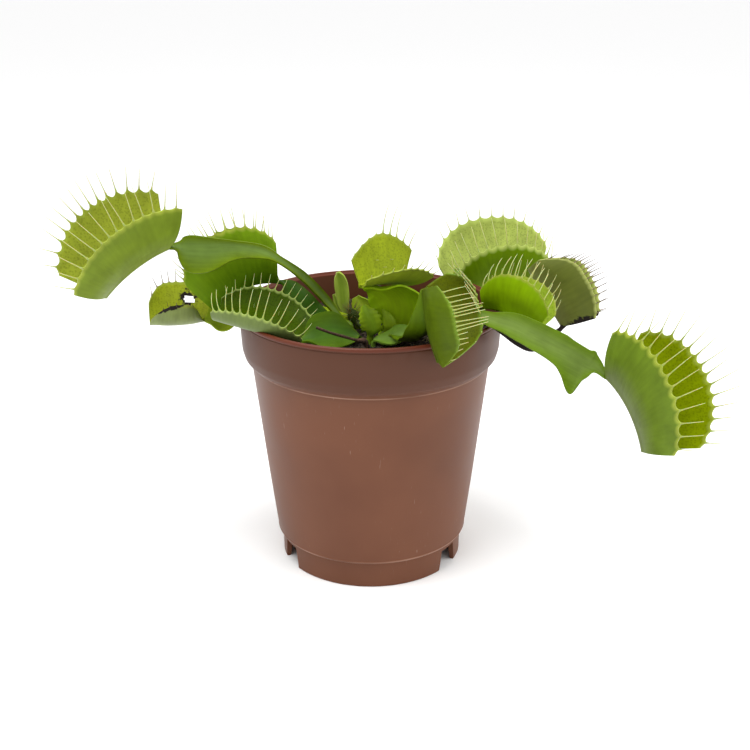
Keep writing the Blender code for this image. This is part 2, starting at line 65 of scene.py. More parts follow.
def colour(code):
    """An sRGB hex colour as linear light"""
    channels = [int(code[i:i + 2], 16) / 255 for i in (0, 2, 4)]
    return (*[c / 12.92 if c <= 0.04045 else ((c + 0.055) / 1.055) ** 2.4 for c in channels], 1.0)


def add(tree, kind, feeds=(), out=None, **settings):
    """Add a node, feed its inputs by name or in order, and return its output out or the first in use"""
    family = next(family for family in FAMILIES if hasattr(bpy.types, family + kind))
    node = tree.nodes.new(family + kind)
    for key, value in settings.items():
        setattr(node, key, value)
    for key, value in feeds.items() if isinstance(feeds, dict) else enumerate(feeds):
        if isinstance(value, bpy.types.NodeSocket):
            tree.links.new(value, node.inputs[key])
        else:
            node.inputs[key].default_value = value
    in_use = [socket for socket in node.outputs if socket.enabled]
    return node.outputs[out] if out else in_use[0] if in_use else None


def new_material(name):
    """An empty material and its node tree"""
    made = bpy.data.materials.new(name)
    made.use_nodes = True
    made.node_tree.nodes.clear()
    return made, made.node_tree


def end_material(made, feeds):
    """Give a material a Principled surface with these inputs"""
    add(made.node_tree, "OutputMaterial", [add(made.node_tree, "BsdfPrincipled", feeds)])
    return made


def new_mesh(name, points, faces=(), edges=()):
    """A mesh from points in millimetres"""
    mesh = bpy.data.meshes.new(name)
    mesh.from_pydata([tuple(float(c) * MM for c in p) for p in points], edges, faces)
    return mesh


def linked(name, data):
    """An object in the scene that holds a mesh, a lamp or a camera"""
    made = bpy.data.objects.new(name, data)
    scene.collection.objects.link(made)
    return made


def hand_over(piece, node=None):
    """Tell the frame which solid a piece takes the place of, if any, and its body"""
    if node:
        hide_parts(node)
    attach(piece, "root")


print("card grey 808080 as linear light:", round(colour("808080")[0], 3))

# %% [markdown]
# ## The camera
# A camera was fitted to the pot's outline: it stands 345 mm in front, 189 mm up, and looks about 21
# degrees down. Its lens is given for Blender's 36 mm sensor and a square picture.

# %% Camera
CAMERA_PLACE = (0.0, -345.0, 188.6)
PITCH, YAW, ROLL = (math.radians(angle) for angle in (20.741, 0.213, -0.167))      # down, right, sideways
SENSOR = 36
LENS = SENSOR * 1199.0 / 750    # a focal length of 1199 pixels in a picture of 750

camera = linked("camera", bpy.data.cameras.new("camera"))
camera.data.lens = LENS
camera.data.sensor_width = SENSOR
camera.data.clip_start = 0.01
camera.matrix_world = (
    Matrix.Translation([c * MM for c in CAMERA_PLACE]) @ Matrix.Rotation(-YAW, 4, "Z")
    @ Matrix.Rotation(math.pi / 2 - PITCH, 4, "X") @ Matrix.Rotation(ROLL, 4, "Z"))
scene.camera = camera
print("lens, mm:", round(LENS, 2))

# %% [markdown]
# ## Light and floor
# Such a portrait is made in a white tent: light comes from all around, a little more from above, and
# the floor is plain white. An even white world is the tent. A large soft lamp overhead gives the
# leaves their shape, and a weaker one on the right lights the traps on that side.

# %% Light and floor
AIM = Vector((0, 0, 60))        # both lamps face the middle of the plant
FLOOR_RADIUS = 6.0              # metres, so that its edge is out of sight

scene.view_settings.view_transform = "Standard"
scene.world = bpy.data.worlds.new("tent")
scene.world.use_nodes = True
scene.world.node_tree.nodes.clear()
tent = add(scene.world.node_tree, "Background", {"Color": (1, 1, 1, 1), "Strength": 1.0})
add(scene.world.node_tree, "OutputWorld", [tent])

for name, place, size, power in (("lamp_above", (-140, -120, 620), 380, 3.4),
                                 ("lamp_right", (520, -60, 300), 300, 1.2)):
    lamp = linked(name, bpy.data.lights.new(name, "AREA"))
    lamp.data.size = size * MM
    lamp.data.energy = power
    lamp.location = [c * MM for c in place]
    lamp.rotation_euler = (AIM - Vector(place)).to_track_quat("-Z", "Y").to_euler()

floor = linked("floor", bpy.data.meshes.new("floor"))
shape = bmesh.new()
bmesh.ops.create_circle(shape, cap_ends=True, radius=FLOOR_RADIUS, segments=96)
shape.to_mesh(floor.data)
shape.free()
paper, _ = new_material("floor_white_paper")
floor.data.materials.append(end_material(paper, {"Base Color": colour("fbfbfb"), "Roughness": 0.9}))
print("lamps:", len(bpy.data.lights), "floor radius, m:", FLOOR_RADIUS)

# %% [markdown]
# ## Pot plastic
# The pot is polypropylene, injection-moulded in a terracotta brown, a little clouded and darker on
# the band and at the lip. The mould leaves an even satin skin. The two sharp ridges carry a pale
# painted highlight. Handling leaves a few pale slanting scuffs: a noise stretched to 0.5 mm by 9 mm,
# shown only where the clouds are thickest.

# %% Pot plastic
LIP_Z, BAND_Z, SHOULDER_Z, EDGE_Z, FLOOR_Z = 80.5, 69.0, 64.3, 9.1, 7.3     # heights along the pot

plastic, tree = new_material("moulded_polypropylene")
place = add(tree, "TexCoord", out="Object")
height = add(tree, "SeparateXYZ", [place], out="Z")
cloud = add(tree, "TexNoise", {"Vector": place, "Scale": 1 / (28 * MM), "Detail": 3.0})
stretched = add(tree, "Mapping", {"Vector": place, "Rotation": (0.5, 0.3, 0),
                                  "Scale": (1 / (0.5 * MM), 1 / (0.5 * MM), 1 / (9 * MM))})
scuff = add(tree, "TexNoise", {"Vector": stretched, "Scale": 1.0, "Detail": 1.0})
cloudy, few, thin, satin, on_band, at_lip = (
    add(tree, "MapRange", feeds) for feeds in (
        (cloud, 0.35, 0.65), (cloud, 0.56, 0.66), (scuff, 0.72, 0.8, 0, 0.5), (cloud, 0.3, 0.7, 0.4, 0.52),
        (height, (BAND_Z - 6) * MM, (BAND_Z - 2) * MM), (height, (LIP_Z - 1.5) * MM, (LIP_Z - 0.9) * MM)))
shoulder, foot = (add(tree, "Math", (height, z * MM, reach * MM), operation="COMPARE")
                  for z, reach in ((SHOULDER_Z + 0.1, 0.28), (EDGE_Z - 0.1, 0.3)))
# A painted highlight: the shoulder and foot ridges are made pale, more so where the plastic is cloudier.
ridge_highlight = shoulder
for value, kind in ((foot, "MAXIMUM"), (cloudy, "MULTIPLY"), (0.55, "MULTIPLY")):
    ridge_highlight = add(tree, "Math", (ridge_highlight, value), operation=kind)
scuffed = add(tree, "Math", (thin, few), operation="MULTIPLY")
skin = colour("5f3620")
# a5806c is the pale painted highlight on the ridges.
for cover, code in ((cloudy, "683e28"), (on_band, "4f2b18"), (ridge_highlight, "a5806c"), (at_lip, "582510"),
                    (scuffed, "b49a8c")):
    skin = add(tree, "Mix", {0: cover, 6: skin, 7: colour(code)}, data_type="RGBA")
pebble = add(tree, "TexNoise", {"Vector": place, "Scale": 1 / (0.5 * MM), "Detail": 2.0})
relief = add(tree, "Math", (pebble, scuffed), operation="ADD")
bump = add(tree, "Bump", {"Height": relief, "Strength": 0.08, "Distance": 0.05 * MM})
end_material(plastic, {"Base Color": skin, "Roughness": satin, "Normal": bump, "IOR": 1.49,
                       "Specular IOR Level": 0.27})
print("plastic nodes:", len(tree.nodes))

# %% [markdown]
# ## Peat, moss and dead matter
# Flytraps grow in milled sphagnum peat: dark brown crumbs and short fibres with no gloss at all. Two
# more plain growths lie in it: straw-coloured strands of dried moss, and leaf tissue that has died
# and turned brown-black.

# %% Peat, moss and dead matter
def matt(name, dark, light, grain, roughness=0.95):
    """A dull, crumbly finish between two colours, its grain in millimetres"""
    made, tree = new_material(name)
    place = add(tree, "TexCoord", out="Object")
    crumb = add(tree, "TexNoise", {"Vector": place, "Scale": 1 / (grain * MM), "Detail": 5.0})
    spread = add(tree, "MapRange", (crumb, 0.36, 0.66))
    mixed = add(tree, "Mix", {0: spread, 6: colour(dark), 7: colour(light)}, data_type="RGBA")
    bump = add(tree, "Bump", {"Height": crumb, "Strength": 0.6, "Distance": 0.2 * MM})
    return end_material(made, {"Base Color": mixed, "Roughness": roughness, "Normal": bump, "IOR": 1.4})


peat = matt("milled_peat", "15110d", "3d3024", 1.1)
moss = matt("dried_moss", "5a5332", "a59a66", 0.6)
dead_stalk = matt("dead_stalk", "2a1c14", "5c4130", 0.8, roughness=0.8)
print("matt finishes:", peat.name, moss.name, dead_stalk.name)

# %% [markdown]
# ## Leaf skin
# A leaf is thin living tissue under a smooth waxy skin: a soft gloss, a little light scattered
# inside, veins about 0.8 mm apart that run along the stalk and then from the hinge to the margin.
# The inside of a trap is duller and carries pinhead glands; they are about 0.15 mm wide, and drawn
# 0.5 mm wide here so that they show. Four values in the mesh steer the colours: inside, edge (0 at
# a midrib or hinge, 1 at the margin), trap and dead.

# %% Leaf skin
STEERING = ("inside", "edge", "trap", "dead")


def leaf_skin(name, stalk="5f7430", wing="5f7208", hinge="75853a", outside="6c8426", inside="7c8b12",
              margin="8a9636", roughness=0.42, gloss=0.15):
    """Skin of one leaf, from the colours of its parts; the ones given here are fresh yellow green, hinge a
    painted sheen
    """
    made, tree = new_material("leaf_skin_" + name)
    inner, edge, trap, dead = (add(tree, "Attribute", out="Fac", attribute_name=key) for key in STEERING)
    place = add(tree, "TexCoord", out="Object")
    along = add(tree, "UVMap", uv_map="skin")
    vein_way = add(tree, "Mapping", {"Vector": along, "Scale": (1 / (9 * MM), 1 / (0.8 * MM), 1)})
    vein = add(tree, "TexNoise", {"Vector": vein_way, "Scale": 1.0, "Detail": 2.0})
    cloud = add(tree, "TexNoise", {"Vector": place, "Scale": 1 / (6 * MM), "Detail": 2.0})
    ragged = add(tree, "TexNoise", {"Vector": place, "Scale": 1 / (1.2 * MM), "Detail": 4.0})
    gland = add(tree, "TexVoronoi", {"Vector": place, "Scale": 1 / (0.7 * MM)})
    rot = add(tree, "Math", (dead, ragged), operation="ADD")
    out_wing, off_hinge_shading, at_rim, rotten, dots, streak, patch = (
        add(tree, "MapRange", feeds) for feeds in (
            (edge, 0.25, 0.9), (edge, 0.05, 0.55), (edge, 0.93, 0.985), (rot, 0.92, 1.06),
            (gland, 0.25, 0.5, 0.82, 1.06), (vein, 0.3, 0.7, 0.91, 1.08), (cloud, 0.3, 0.7, 0.88, 1.12)))
    dull = add(tree, "MapRange", (rotten, 0, 1, roughness, 0.8))
    shine = add(tree, "MapRange", (inner, 0, 1, gloss, 0.05))
    rim = add(tree, "Math", (at_rim, trap), operation="MULTIPLY")
    shade = add(tree, "Math", (streak, patch), operation="MULTIPLY")
    blade = add(tree, "Mix", {0: out_wing, 6: colour(stalk), 7: colour(wing)}, data_type="RGBA")
    # On trap leaves the hinge colour lies on the outside along the hinge. Where it is paler than outside it
    # is a painted sheen, and where it is darker it is painted shade on the trap's underside. Shut traps have
    # no edge values, so they take the hinge colour all over as their own colour.
    back = add(tree, "Mix", {0: off_hinge_shading, 6: colour(hinge), 7: colour(outside)}, data_type="RGBA")
    front = add(tree, "VectorMath", {0: colour(inside)[:3], 3: dots}, operation="SCALE")
    lobe = add(tree, "Mix", {0: inner, 6: back, 7: front}, data_type="RGBA")
    whole = add(tree, "Mix", {0: trap, 6: blade, 7: lobe}, data_type="RGBA")
    rimmed = add(tree, "Mix", {0: rim, 6: whole, 7: colour(margin)}, data_type="RGBA")
    living = add(tree, "VectorMath", {0: rimmed, 3: shade}, operation="SCALE")
    final = add(tree, "Mix", {0: rotten, 6: living, 7: colour("1f1a17")}, data_type="RGBA")
    ridge = add(tree, "Math", (vein, ragged), operation="ADD")
    bump = add(tree, "Bump", {"Height": ridge, "Strength": 0.25, "Distance": 0.12 * MM})
    return end_material(made, {
        "Base Color": final, "Roughness": dull, "Specular IOR Level": shine, "Normal": bump, "IOR": 1.42,
        "Subsurface Weight": 0.12, "Subsurface Scale": 0.8 * MM, "Subsurface Radius": (0.9, 1.0, 0.5)})


print("values in the mesh that steer the colours:", *STEERING)

# %% [markdown]
# ## Cilia
# The hairs along a margin are the same tissue with almost no green in it, pale and a little clear,
# so light scatters in them. On dying traps they dry to brown and black.

# %% Cilia
def hair(name, root, tip):
    """Finish of the cilia, from root to tip"""
    made, tree = new_material("cilia_" + name)
    share = add(tree, "Attribute", out="Fac", attribute_name="share")
    mixed = add(tree, "Mix", {0: share, 6: colour(root), 7: colour(tip)}, data_type="RGBA")
    return end_material(made, {"Base Color": mixed, "Roughness": 0.4, "IOR": 1.42,
                               "Subsurface Weight": 0.3, "Subsurface Scale": 0.5 * MM})


hair_pale = hair("pale", "8f9d44", "c2c98e")
hair_dry = hair("dry", "6a5f35", "2a211b")
hair_burr = hair("burr", "4a4f28", "5f6430")
print("hair finishes:", hair_pale.name, hair_dry.name, hair_burr.name)

# %% [markdown]
# ## From live modifiers to plain meshes
# Each piece is handed over as a plain mesh, so whatever a modifier or a node tree makes is evaluated
# once and kept. Values reach a tree through its named inputs, which a modifier knows by identifier.

# %% Plain meshes
def plain(piece):
    """Keep what the piece's modifiers make as its own mesh"""
    seen = piece.evaluated_get(bpy.context.evaluated_depsgraph_get())
    mesh = bpy.data.meshes.new_from_object(seen)
    piece.modifiers.clear()
    piece.data = mesh
    mesh.name = piece.name
    return piece


def new_tree(name, *inputs):
    """A Geometry Nodes tree with a geometry socket each way and these named inputs"""
    tree = bpy.data.node_groups.new(name, "GeometryNodeTree")
    for way in ("INPUT", "OUTPUT"):
        tree.interface.new_socket("Geometry", in_out=way, socket_type="NodeSocketGeometry")
    for label, kind in inputs:
        tree.interface.new_socket(label, in_out="INPUT", socket_type="NodeSocket" + kind)
    return tree, add(tree, "GroupInput").node.outputs


def end_tree(tree, geometry, finish):
    """Make what a tree has grown real, give it its material and put it out"""
    real = add(tree, "RealizeInstances", [geometry])
    painted = add(tree, "SetMaterial", {0: real, "Material": finish})
    add(tree, "GroupOutput", [painted])
    print(tree.name, "nodes:", len(tree.nodes))
    return tree


def run_tree(piece, tree, values):
    """Run a tree on a piece and keep the result"""
    change = piece.modifiers.new(tree.name, "NODES")
    change.node_group = tree
    for item in tree.interface.items_tree:
        if item.name in values:
            change[item.identifier] = values[item.name]
    return plain(piece)


print("meshes before any piece is made:", len(bpy.data.meshes))

# %% [markdown]
# ## The pot
# A moulded pot is a turned shape: one closed outline swept round an axis. A Geometry Nodes tree
# sweeps the outline along a circle, as the mould maker's lathe did, and its sides are an input. The
# outline has the thin lip, the band that stacked pots nest on, a fine ridge at the foot and a
# recessed floor. Three drain notches are then cut out of the foot ring.

# %% The pot's outline
POT_WALL = 1.3


def inner_radius(z):
    """Radius of the pot's inside at a height"""
    return float(np.interp(z, (EDGE_Z, SHOULDER_Z, BAND_Z, LIP_Z), (29.7, 36.2, 38.9, 39.5))) - POT_WALL


def rounded(corners, steps=4):
    """A closed outline with its corners rounded; each corner is (radius, z, rounding)"""
    points = []
    for k, (x, z, soft) in enumerate(corners):
        here = np.array((x, z), float)
        before = np.array(corners[k - 1][:2], float) - here
        after = np.array(corners[(k + 1) % len(corners)][:2], float) - here
        if not soft:
            points.append(here)
            continue
        cut_off = min(soft, 0.45 * np.linalg.norm(before), 0.45 * np.linalg.norm(after))
        first = here + before / np.linalg.norm(before) * cut_off
        last = here + after / np.linalg.norm(after) * cut_off
        for t in np.linspace(0, 1, steps + 1):
            points.append((1 - t) ** 2 * first + 2 * t * (1 - t) * here + t * t * last)
    return points


AXIS = 0.02     # the outline stops this far from the axis, and the caps close it
outline = rounded([
    (AXIS, FLOOR_Z - 0.5, 0), (1.6, FLOOR_Z - 0.5, 0.3), (2.0, FLOOR_Z, 0.3), (10.0, FLOOR_Z, 0),
    (26.4, FLOOR_Z, 0.5), (26.9, 0.2, 0.2), (27.1, 0, 0.2), (28.0, 0, 0.2), (28.2, 0.3, 0.2),
    (28.3, 8.2, 0.3), (29.4, 8.5, 0.4), (29.8, 9.1, 0.4), (29.75, 9.7, 0.2), (31.9, 27.0, 0), (34.1, 46.0, 0),
    (36.2, SHOULDER_Z, 0.3), (36.5, SHOULDER_Z + 0.3, 0.3), (38.2, BAND_Z - 2.6, 0.5), (38.9, BAND_Z, 0.7),
    (39.2, 74.6, 0), (39.45, 78.7, 0.1), (39.3, 78.9, 0.1), (39.35, 79.1, 0.1), (39.85, 79.3, 0.2),
    (39.97, 79.6, 0.2), (39.97, 80.2, 0.3), (39.5, LIP_Z, 0.3), (38.9, 80.4, 0.2), (38.75, 79.9, 0.1),
    (38.3, 79.6, 0.2), (inner_radius(BAND_Z), BAND_Z, 0.6), (inner_radius(SHOULDER_Z), SHOULDER_Z, 0.6),
    (inner_radius(EDGE_Z), FLOOR_Z + POT_WALL, 1.5), (AXIS, FLOOR_Z + POT_WALL, 0)])
print("points in the outline:", len(outline))

# %% Turn the outline
POT_SIDES = 160
LATHE = 1       # radius of the circle that carries the outline, in millimetres

tree, given = new_tree("turned_on_a_lathe", ("Sides", "Int"), ("Material", "Material"))
outline_curve = add(tree, "MeshToCurve", [given[0]])
path_round = add(tree, "CurvePrimitiveCircle", {"Resolution": given[1], "Radius": LATHE * MM})
swept = add(tree, "CurveToMesh", {"Curve": path_round, "Profile Curve": outline_curve})
smooth = add(tree, "SetShadeSmooth", [swept])
turner = end_tree(tree, smooth, given[2])

loop = [(k, (k + 1) % len(outline)) for k in range(len(outline))]
mesh = new_mesh("pot_moulded", [(x - LATHE, -z, 0) for x, z in outline], edges=loop)
pot = run_tree(linked("pot_moulded", mesh), turner, {"Sides": POT_SIDES, "Material": plastic})
print("pot width and height, mm:", *(round(size / MM, 2) for size in pot.dimensions[1:]))
shape = bmesh.new()
shape.from_mesh(pot.data)
bmesh.ops.remove_doubles(shape, verts=shape.verts, dist=3 * AXIS * MM)
bmesh.ops.recalc_face_normals(shape, faces=shape.faces)
shape.to_mesh(pot.data)
shape.free()

# %% Drain notches
NOTCHES = (57.0, 177.0, 297.0)      # where they stand, in degrees round from the front
points, faces = [], []
for centre in np.radians(NOTCHES):
    first = len(points)
    for z, width in ((-2.0, 20.0), (6.6, 14.0)):
        for radius, side in ((22, -1), (32, -1), (32, 1), (22, 1)):
            angle = centre + side * math.radians(width) / 2
            points.append((radius * math.sin(angle), -radius * math.cos(angle), z))
    faces += [tuple(first + k for k in face) for face in
              ((0, 3, 2, 1), (4, 5, 6, 7), (0, 1, 5, 4), (1, 2, 6, 5), (2, 3, 7, 6), (3, 0, 4, 7))]
cutter = linked("notches", new_mesh("notches", points, faces))
change = pot.modifiers.new("notches", "BOOLEAN")
change.operation = "DIFFERENCE"
change.object = cutter
plain(pot)
bpy.data.objects.remove(cutter)
pot.data.set_sharp_from_angle(angle=math.radians(35))
hand_over(pot, "pot")
print("pot triangles:", sum(len(p.vertices) - 2 for p in pot.data.polygons))

# %% [markdown]
# ## The potting mix
# Only its top is seen: a crumbly surface with loose crumbs and fibres on it. The surface is a disc
# whose rings and ripples follow a formula. The crumbs are one small stone-like shape that a tree
# scatters over it, turned and sized at random from a fixed seed.

# %% The mix
SOIL_Z, SOIL_MIDDLE, SOIL_FOOT = 71.0, 60.0, 8.9    # heights of its top, of a ring below it and of its foot
SOIL_GAP, SOIL_ROUGH = 0.3, 0.22                    # room to the wall, and how far the crumbs stand out
SOIL_SIDES, SOIL_RINGS = 120, 43
SOIL_TURNS = [2 * math.pi * k / SOIL_SIDES for k in range(SOIL_SIDES)]


def soil_height(x, y):
    """Level of the mix at a place, without its crumbs"""
    wave = math.sin(x / 4.3 + 0.6) * math.cos(y / 5.1) + math.sin((x + 1.7 * y) / 7.7)
    return SOIL_Z + 0.25 * wave


def ring_faces(sides, rings):
    """Faces of a form made of a first point, rings of points and a last point"""
    faces = []
    last = 1 + (rings - 1) * sides
    for k in range(sides):
        n = (k + 1) % sides
        faces.append((0, 1 + k, 1 + n))
        faces += [(j + k, j + sides + k, j + sides + n, j + n) for j in range(1, last, sides)]
        faces.append((last + n, last + k, last + sides))
    return faces


radii = np.linspace(0, inner_radius(SOIL_Z) - SOIL_GAP, SOIL_RINGS + 1)[1:]
points = [(0, 0, soil_height(0, 0))]
for radius in radii:
    for a in SOIL_TURNS:
        x, y = radius * math.sin(a), -radius * math.cos(a)
        rough = rng.normal(0, SOIL_ROUGH) if radius < radii[-1] else 0
        points.append((x, y, soil_height(x, y) + rough))
for z in (SOIL_MIDDLE, SOIL_FOOT):
    radius = inner_radius(z) - SOIL_GAP
    points += [(radius * math.sin(a), -radius * math.cos(a), z) for a in SOIL_TURNS]
points.append((0, 0, SOIL_FOOT))
faces = ring_faces(SOIL_SIDES, SOIL_RINGS + 2)
mesh = new_mesh("potting_mix", points, faces)
mesh.materials.append(peat)
hand_over(linked("potting_mix", mesh), "soil")
print("faces of the mix:", len(faces))

# %% Crumbs
tree, given = new_tree("scattered_crumbs", ("Per square metre", "Float"), ("Largest", "Float"),
                       ("Seed", "Int"), ("Material", "Material"))
spots = add(tree, "DistributePointsOnFaces", {"Mesh": given[0], "Density": given[1], "Seed": given[3]})
lump = add(tree, "MeshIcoSphere", {"Radius": 0.5, "Subdivisions": 1})
lump_noise = add(tree, "TexNoise", {"Scale": 1.7}, out="Color")
lump_shift = add(tree, "VectorMath", (lump_noise, (0.5, 0.5, 0.5)), operation="SUBTRACT")
lump_rough = add(tree, "SetPosition", {"Geometry": lump, "Offset": lump_shift})
turn = add(tree, "RandomValue", {"Min": (0, 0, 0), "Max": (6.28, 6.28, 6.28), "Seed": given[3]},
           data_type="FLOAT_VECTOR")
size = add(tree, "RandomValue", {2: 0.25, 3: 1.0, "Seed": given[3]}, data_type="FLOAT")
big = add(tree, "Math", (size, 2.0), operation="POWER")
scaled = add(tree, "Math", (big, given[2]), operation="MULTIPLY")
crumbs = add(tree, "InstanceOnPoints", {"Points": spots, "Instance": lump_rough, "Rotation": turn,
                                        "Scale": scaled})
scatter = end_tree(tree, crumbs, given[4])

top_faces = [f for f in faces if max(f) < 1 + (SOIL_RINGS - 1) * SOIL_SIDES]
crumb_piece = run_tree(linked("peat_crumbs", new_mesh("peat_crumbs", points, top_faces)), scatter,
                       {"Per square metre": 7.0e5, "Largest": 2.2 * MM, "Seed": SEED, "Material": peat})
hand_over(crumb_piece)
print("crumb triangles:", len(crumb_piece.data.polygons))

# %% [markdown]
# ## Bristles
# Cilia, the trigger hairs inside a trap and moss strands all follow one rule: a thin taper that
# starts at a point, goes a certain way, and bows. One tree grows them all. A piece hands it bare
# points that carry two values each: way, from root to tip, and bow, how far the tip is bent aside.

# %% The bristle tree
STRAW = 1 * MM      # length of the straight line that each bristle is bent from
FOOT = 0.16         # share of a bristle that widens into the skin

tree, given = new_tree("bristles", ("Root radius", "Float"), ("Tip share", "Float"), ("Flare", "Float"),
                       ("Unevenness", "Float"), ("Bends", "Int"), ("Sides", "Int"), ("Seed", "Int"),
                       ("Material", "Material"))
roots = add(tree, "MeshToPoints", {"Mesh": given[0]})
shortest, longest = (add(tree, "Math", (1.0, given[4]), operation=kind)
                     for kind in ("SUBTRACT", "ADD"))
luck = add(tree, "RandomValue", {2: shortest, 3: longest, "Seed": given[7]}, data_type="FLOAT")
lucky = add(tree, "StoreNamedAttribute", {"Geometry": roots, "Name": "luck", "Value": luck},
            data_type="FLOAT")
straw = add(tree, "CurvePrimitiveLine", {"End": (0, 0, STRAW)})
bent = add(tree, "ResampleCurve", {"Curve": straw, "Count": given[5]})
copies = add(tree, "InstanceOnPoints", {"Points": lucky, "Instance": bent})
strands = add(tree, "RealizeInstances", [copies])
share = add(tree, "SplineParameter", out="Factor")
way, bow, fortune = (add(tree, "InputNamedAttribute", [key], data_type=kind)
                     for key, kind in (("way", "FLOAT_VECTOR"), ("bow", "FLOAT_VECTOR"), ("luck", "FLOAT")))
square = add(tree, "Math", (share, 2.0), operation="POWER")
forth = add(tree, "VectorMath", {0: way, 3: share}, operation="SCALE")
aside = add(tree, "VectorMath", {0: bow, 3: square}, operation="SCALE")
both = add(tree, "VectorMath", (forth, aside), operation="ADD")
reach = add(tree, "VectorMath", {0: both, 3: fortune}, operation="SCALE")
back = add(tree, "VectorMath", {0: (0, 0, STRAW), 3: share}, operation="SCALE")
offset = add(tree, "VectorMath", (reach, back), operation="SUBTRACT")
grown = add(tree, "SetPosition", {"Geometry": strands, "Offset": offset})
marked = add(tree, "StoreNamedAttribute", {"Geometry": grown, "Name": "share", "Value": share},
             data_type="FLOAT")
taper = add(tree, "MapRange", (share, 0, 1, 1, given[2]))
radius = add(tree, "MapRange", (share, 0, FOOT, 1, 0))
for value, kind in ((2.0, "POWER"), (given[3], "MULTIPLY"), (taper, "ADD"), (given[1], "MULTIPLY")):
    radius = add(tree, "Math", (radius, value), operation=kind)
section = add(tree, "CurvePrimitiveCircle", {"Resolution": given[6], "Radius": 1.0})
solid = add(tree, "CurveToMesh", {"Curve": marked, "Scale": radius, "Profile Curve": section,
                                  "Fill Caps": True})
smooth = add(tree, "SetShadeSmooth", [solid])
bristles = end_tree(tree, smooth, given[8])


def grow(name, roots, ways, bows, finish, slot, radius=0.18, tip=0.3, flare=0.9, uneven=0.06, bends=7,
         sides=5):
    """A piece of bristles from points in millimetres"""
    mesh = new_mesh(name, roots)
    for label, values in (("way", ways), ("bow", bows)):
        attribute = mesh.attributes.new(label, "FLOAT_VECTOR", "POINT")
        attribute.data.foreach_set("vector", (np.array(values, float) * MM).ravel())
    piece = run_tree(linked(name, mesh), bristles, {
        "Root radius": radius * MM, "Tip share": tip, "Flare": flare, "Unevenness": uneven, "Bends": bends,
        "Sides": sides, "Seed": SEED, "Material": finish})
    hand_over(piece)

# %% [markdown]
# ## The shape of a leaf
# A leaf is one sheet. The stalk follows a smooth path through a few stations, each with a half width
# on either side and a roll. At the neck it turns into the hinge, a bowed line from which two lobes
# rise, each leaning out at the hinge and less at its margin. The formulas are those of the packed
# solids, with many more rows. Some leaves were fitted to the photograph once more after the solids
# were packed, so they lie a few millimetres beside them, but each stalk stands in its own hole.

# %% Paths and stations
ROOT_Z, NECK_Z, ROOT_HALF = 69.2, 72.0, 0.9


def unit(vector):
    """The vector with length one"""
    return vector / np.linalg.norm(vector)


def smooth_path(points, steps, end_tangent):
    """A curve through the points (Catmull-Rom), with a set number of steps between them"""
    points = np.asarray(points, float)
    points = np.vstack([2 * points[0] - points[1], points, points[-1] + end_tangent])
    path = []
    for a, b, c, d in zip(points, points[1:], points[2:], points[3:]):
        for t in np.arange(steps) / steps:
            path.append(0.5 * (2 * b + (c - a) * t + (2 * a - 5 * b + 4 * c - d) * t ** 2
                               + (3 * b - a - 3 * c + d) * t ** 3))
    path.append(points[-2])
    return np.array(path)


def stations(leaf, rows, steps, end_tangent=None, end_side=None):
    """Centres, left-hand and upward vectors and half widths along a stalk, its foot first"""
    places = np.array([row[:3] for row in rows], float)
    if end_tangent is None:
        end_tangent = unit(places[-1] - places[-2])
    path = smooth_path(places, steps, end_tangent * np.linalg.norm(places[-1] - places[-2]))
    ahead = np.gradient(path, axis=0)
    ahead /= np.linalg.norm(ahead, axis=1)[:, None]
    ahead[-1] = end_tangent
    heading = np.array(leaf.get("heading", (places[-1] - places[0])[:2]), float)
    level = unit(np.array([-heading[1], heading[0], 0.0]))
    rolls = [row[5] for row in rows]
    if end_side is not None:
        side = unit(level - end_tangent * (end_tangent @ level))
        above = np.cross(end_tangent, side)
        turn = math.degrees(math.atan2(end_side @ above, end_side @ side))
        rolls[-1] = rolls[-2] + (turn - rolls[-2] + 180) % 360 - 180
    t = np.linspace(0, len(rows) - 1, len(path))
    halves = smooth_path([row[3:5] for row in rows], steps, np.zeros(2))
    halves = np.maximum(halves, 0.35)
    lefts = []
    for direction, roll in zip(ahead, np.radians(np.interp(t, range(len(rows)), rolls))):
        side = unit(level - direction * (direction @ level))
        lefts.append(side * math.cos(roll) + np.cross(direction, side) * math.sin(roll))
    lefts = np.array(lefts)
    return path, lefts, np.cross(ahead, lefts), halves


def rooted(leaf, rows):
    """The stations with the foot's own put first: straight up out of the peat, then an elbow"""
    x, y = leaf["base"]
    first = rows[0]
    elbow = (x + 0.2 * (first[0] - x), y + 0.2 * (first[1] - y), NECK_Z + 0.5 * (first[2] - NECK_Z))
    foot = [(x, y, z, ROOT_HALF, ROOT_HALF, 0) for z in (ROOT_Z, NECK_Z)]
    return foot + [(*elbow, 1.1 * ROOT_HALF, 1.1 * ROOT_HALF, first[5] / 2)] + list(rows)


corner = smooth_path([(0, 0, 0), (0, 0, 10), (10, 0, 10)], 4, np.array((1, 0, 0)))
print("a smooth corner, mm:", corner[:, (0, 2)].round(1).tolist())

# %% Lobes
def trap_axes(leaf):
    """Start and length of the hinge, and the trap's own axes: along it, to its left, up"""
    start, end = (np.array(p, float) for p in leaf["hinge"])
    along = unit(end - start)
    up = np.array(leaf["up"], float)
    up = unit(up - along * (along @ up))
    return start, np.linalg.norm(end - start), np.stack([along, np.cross(up, along), up], 1)


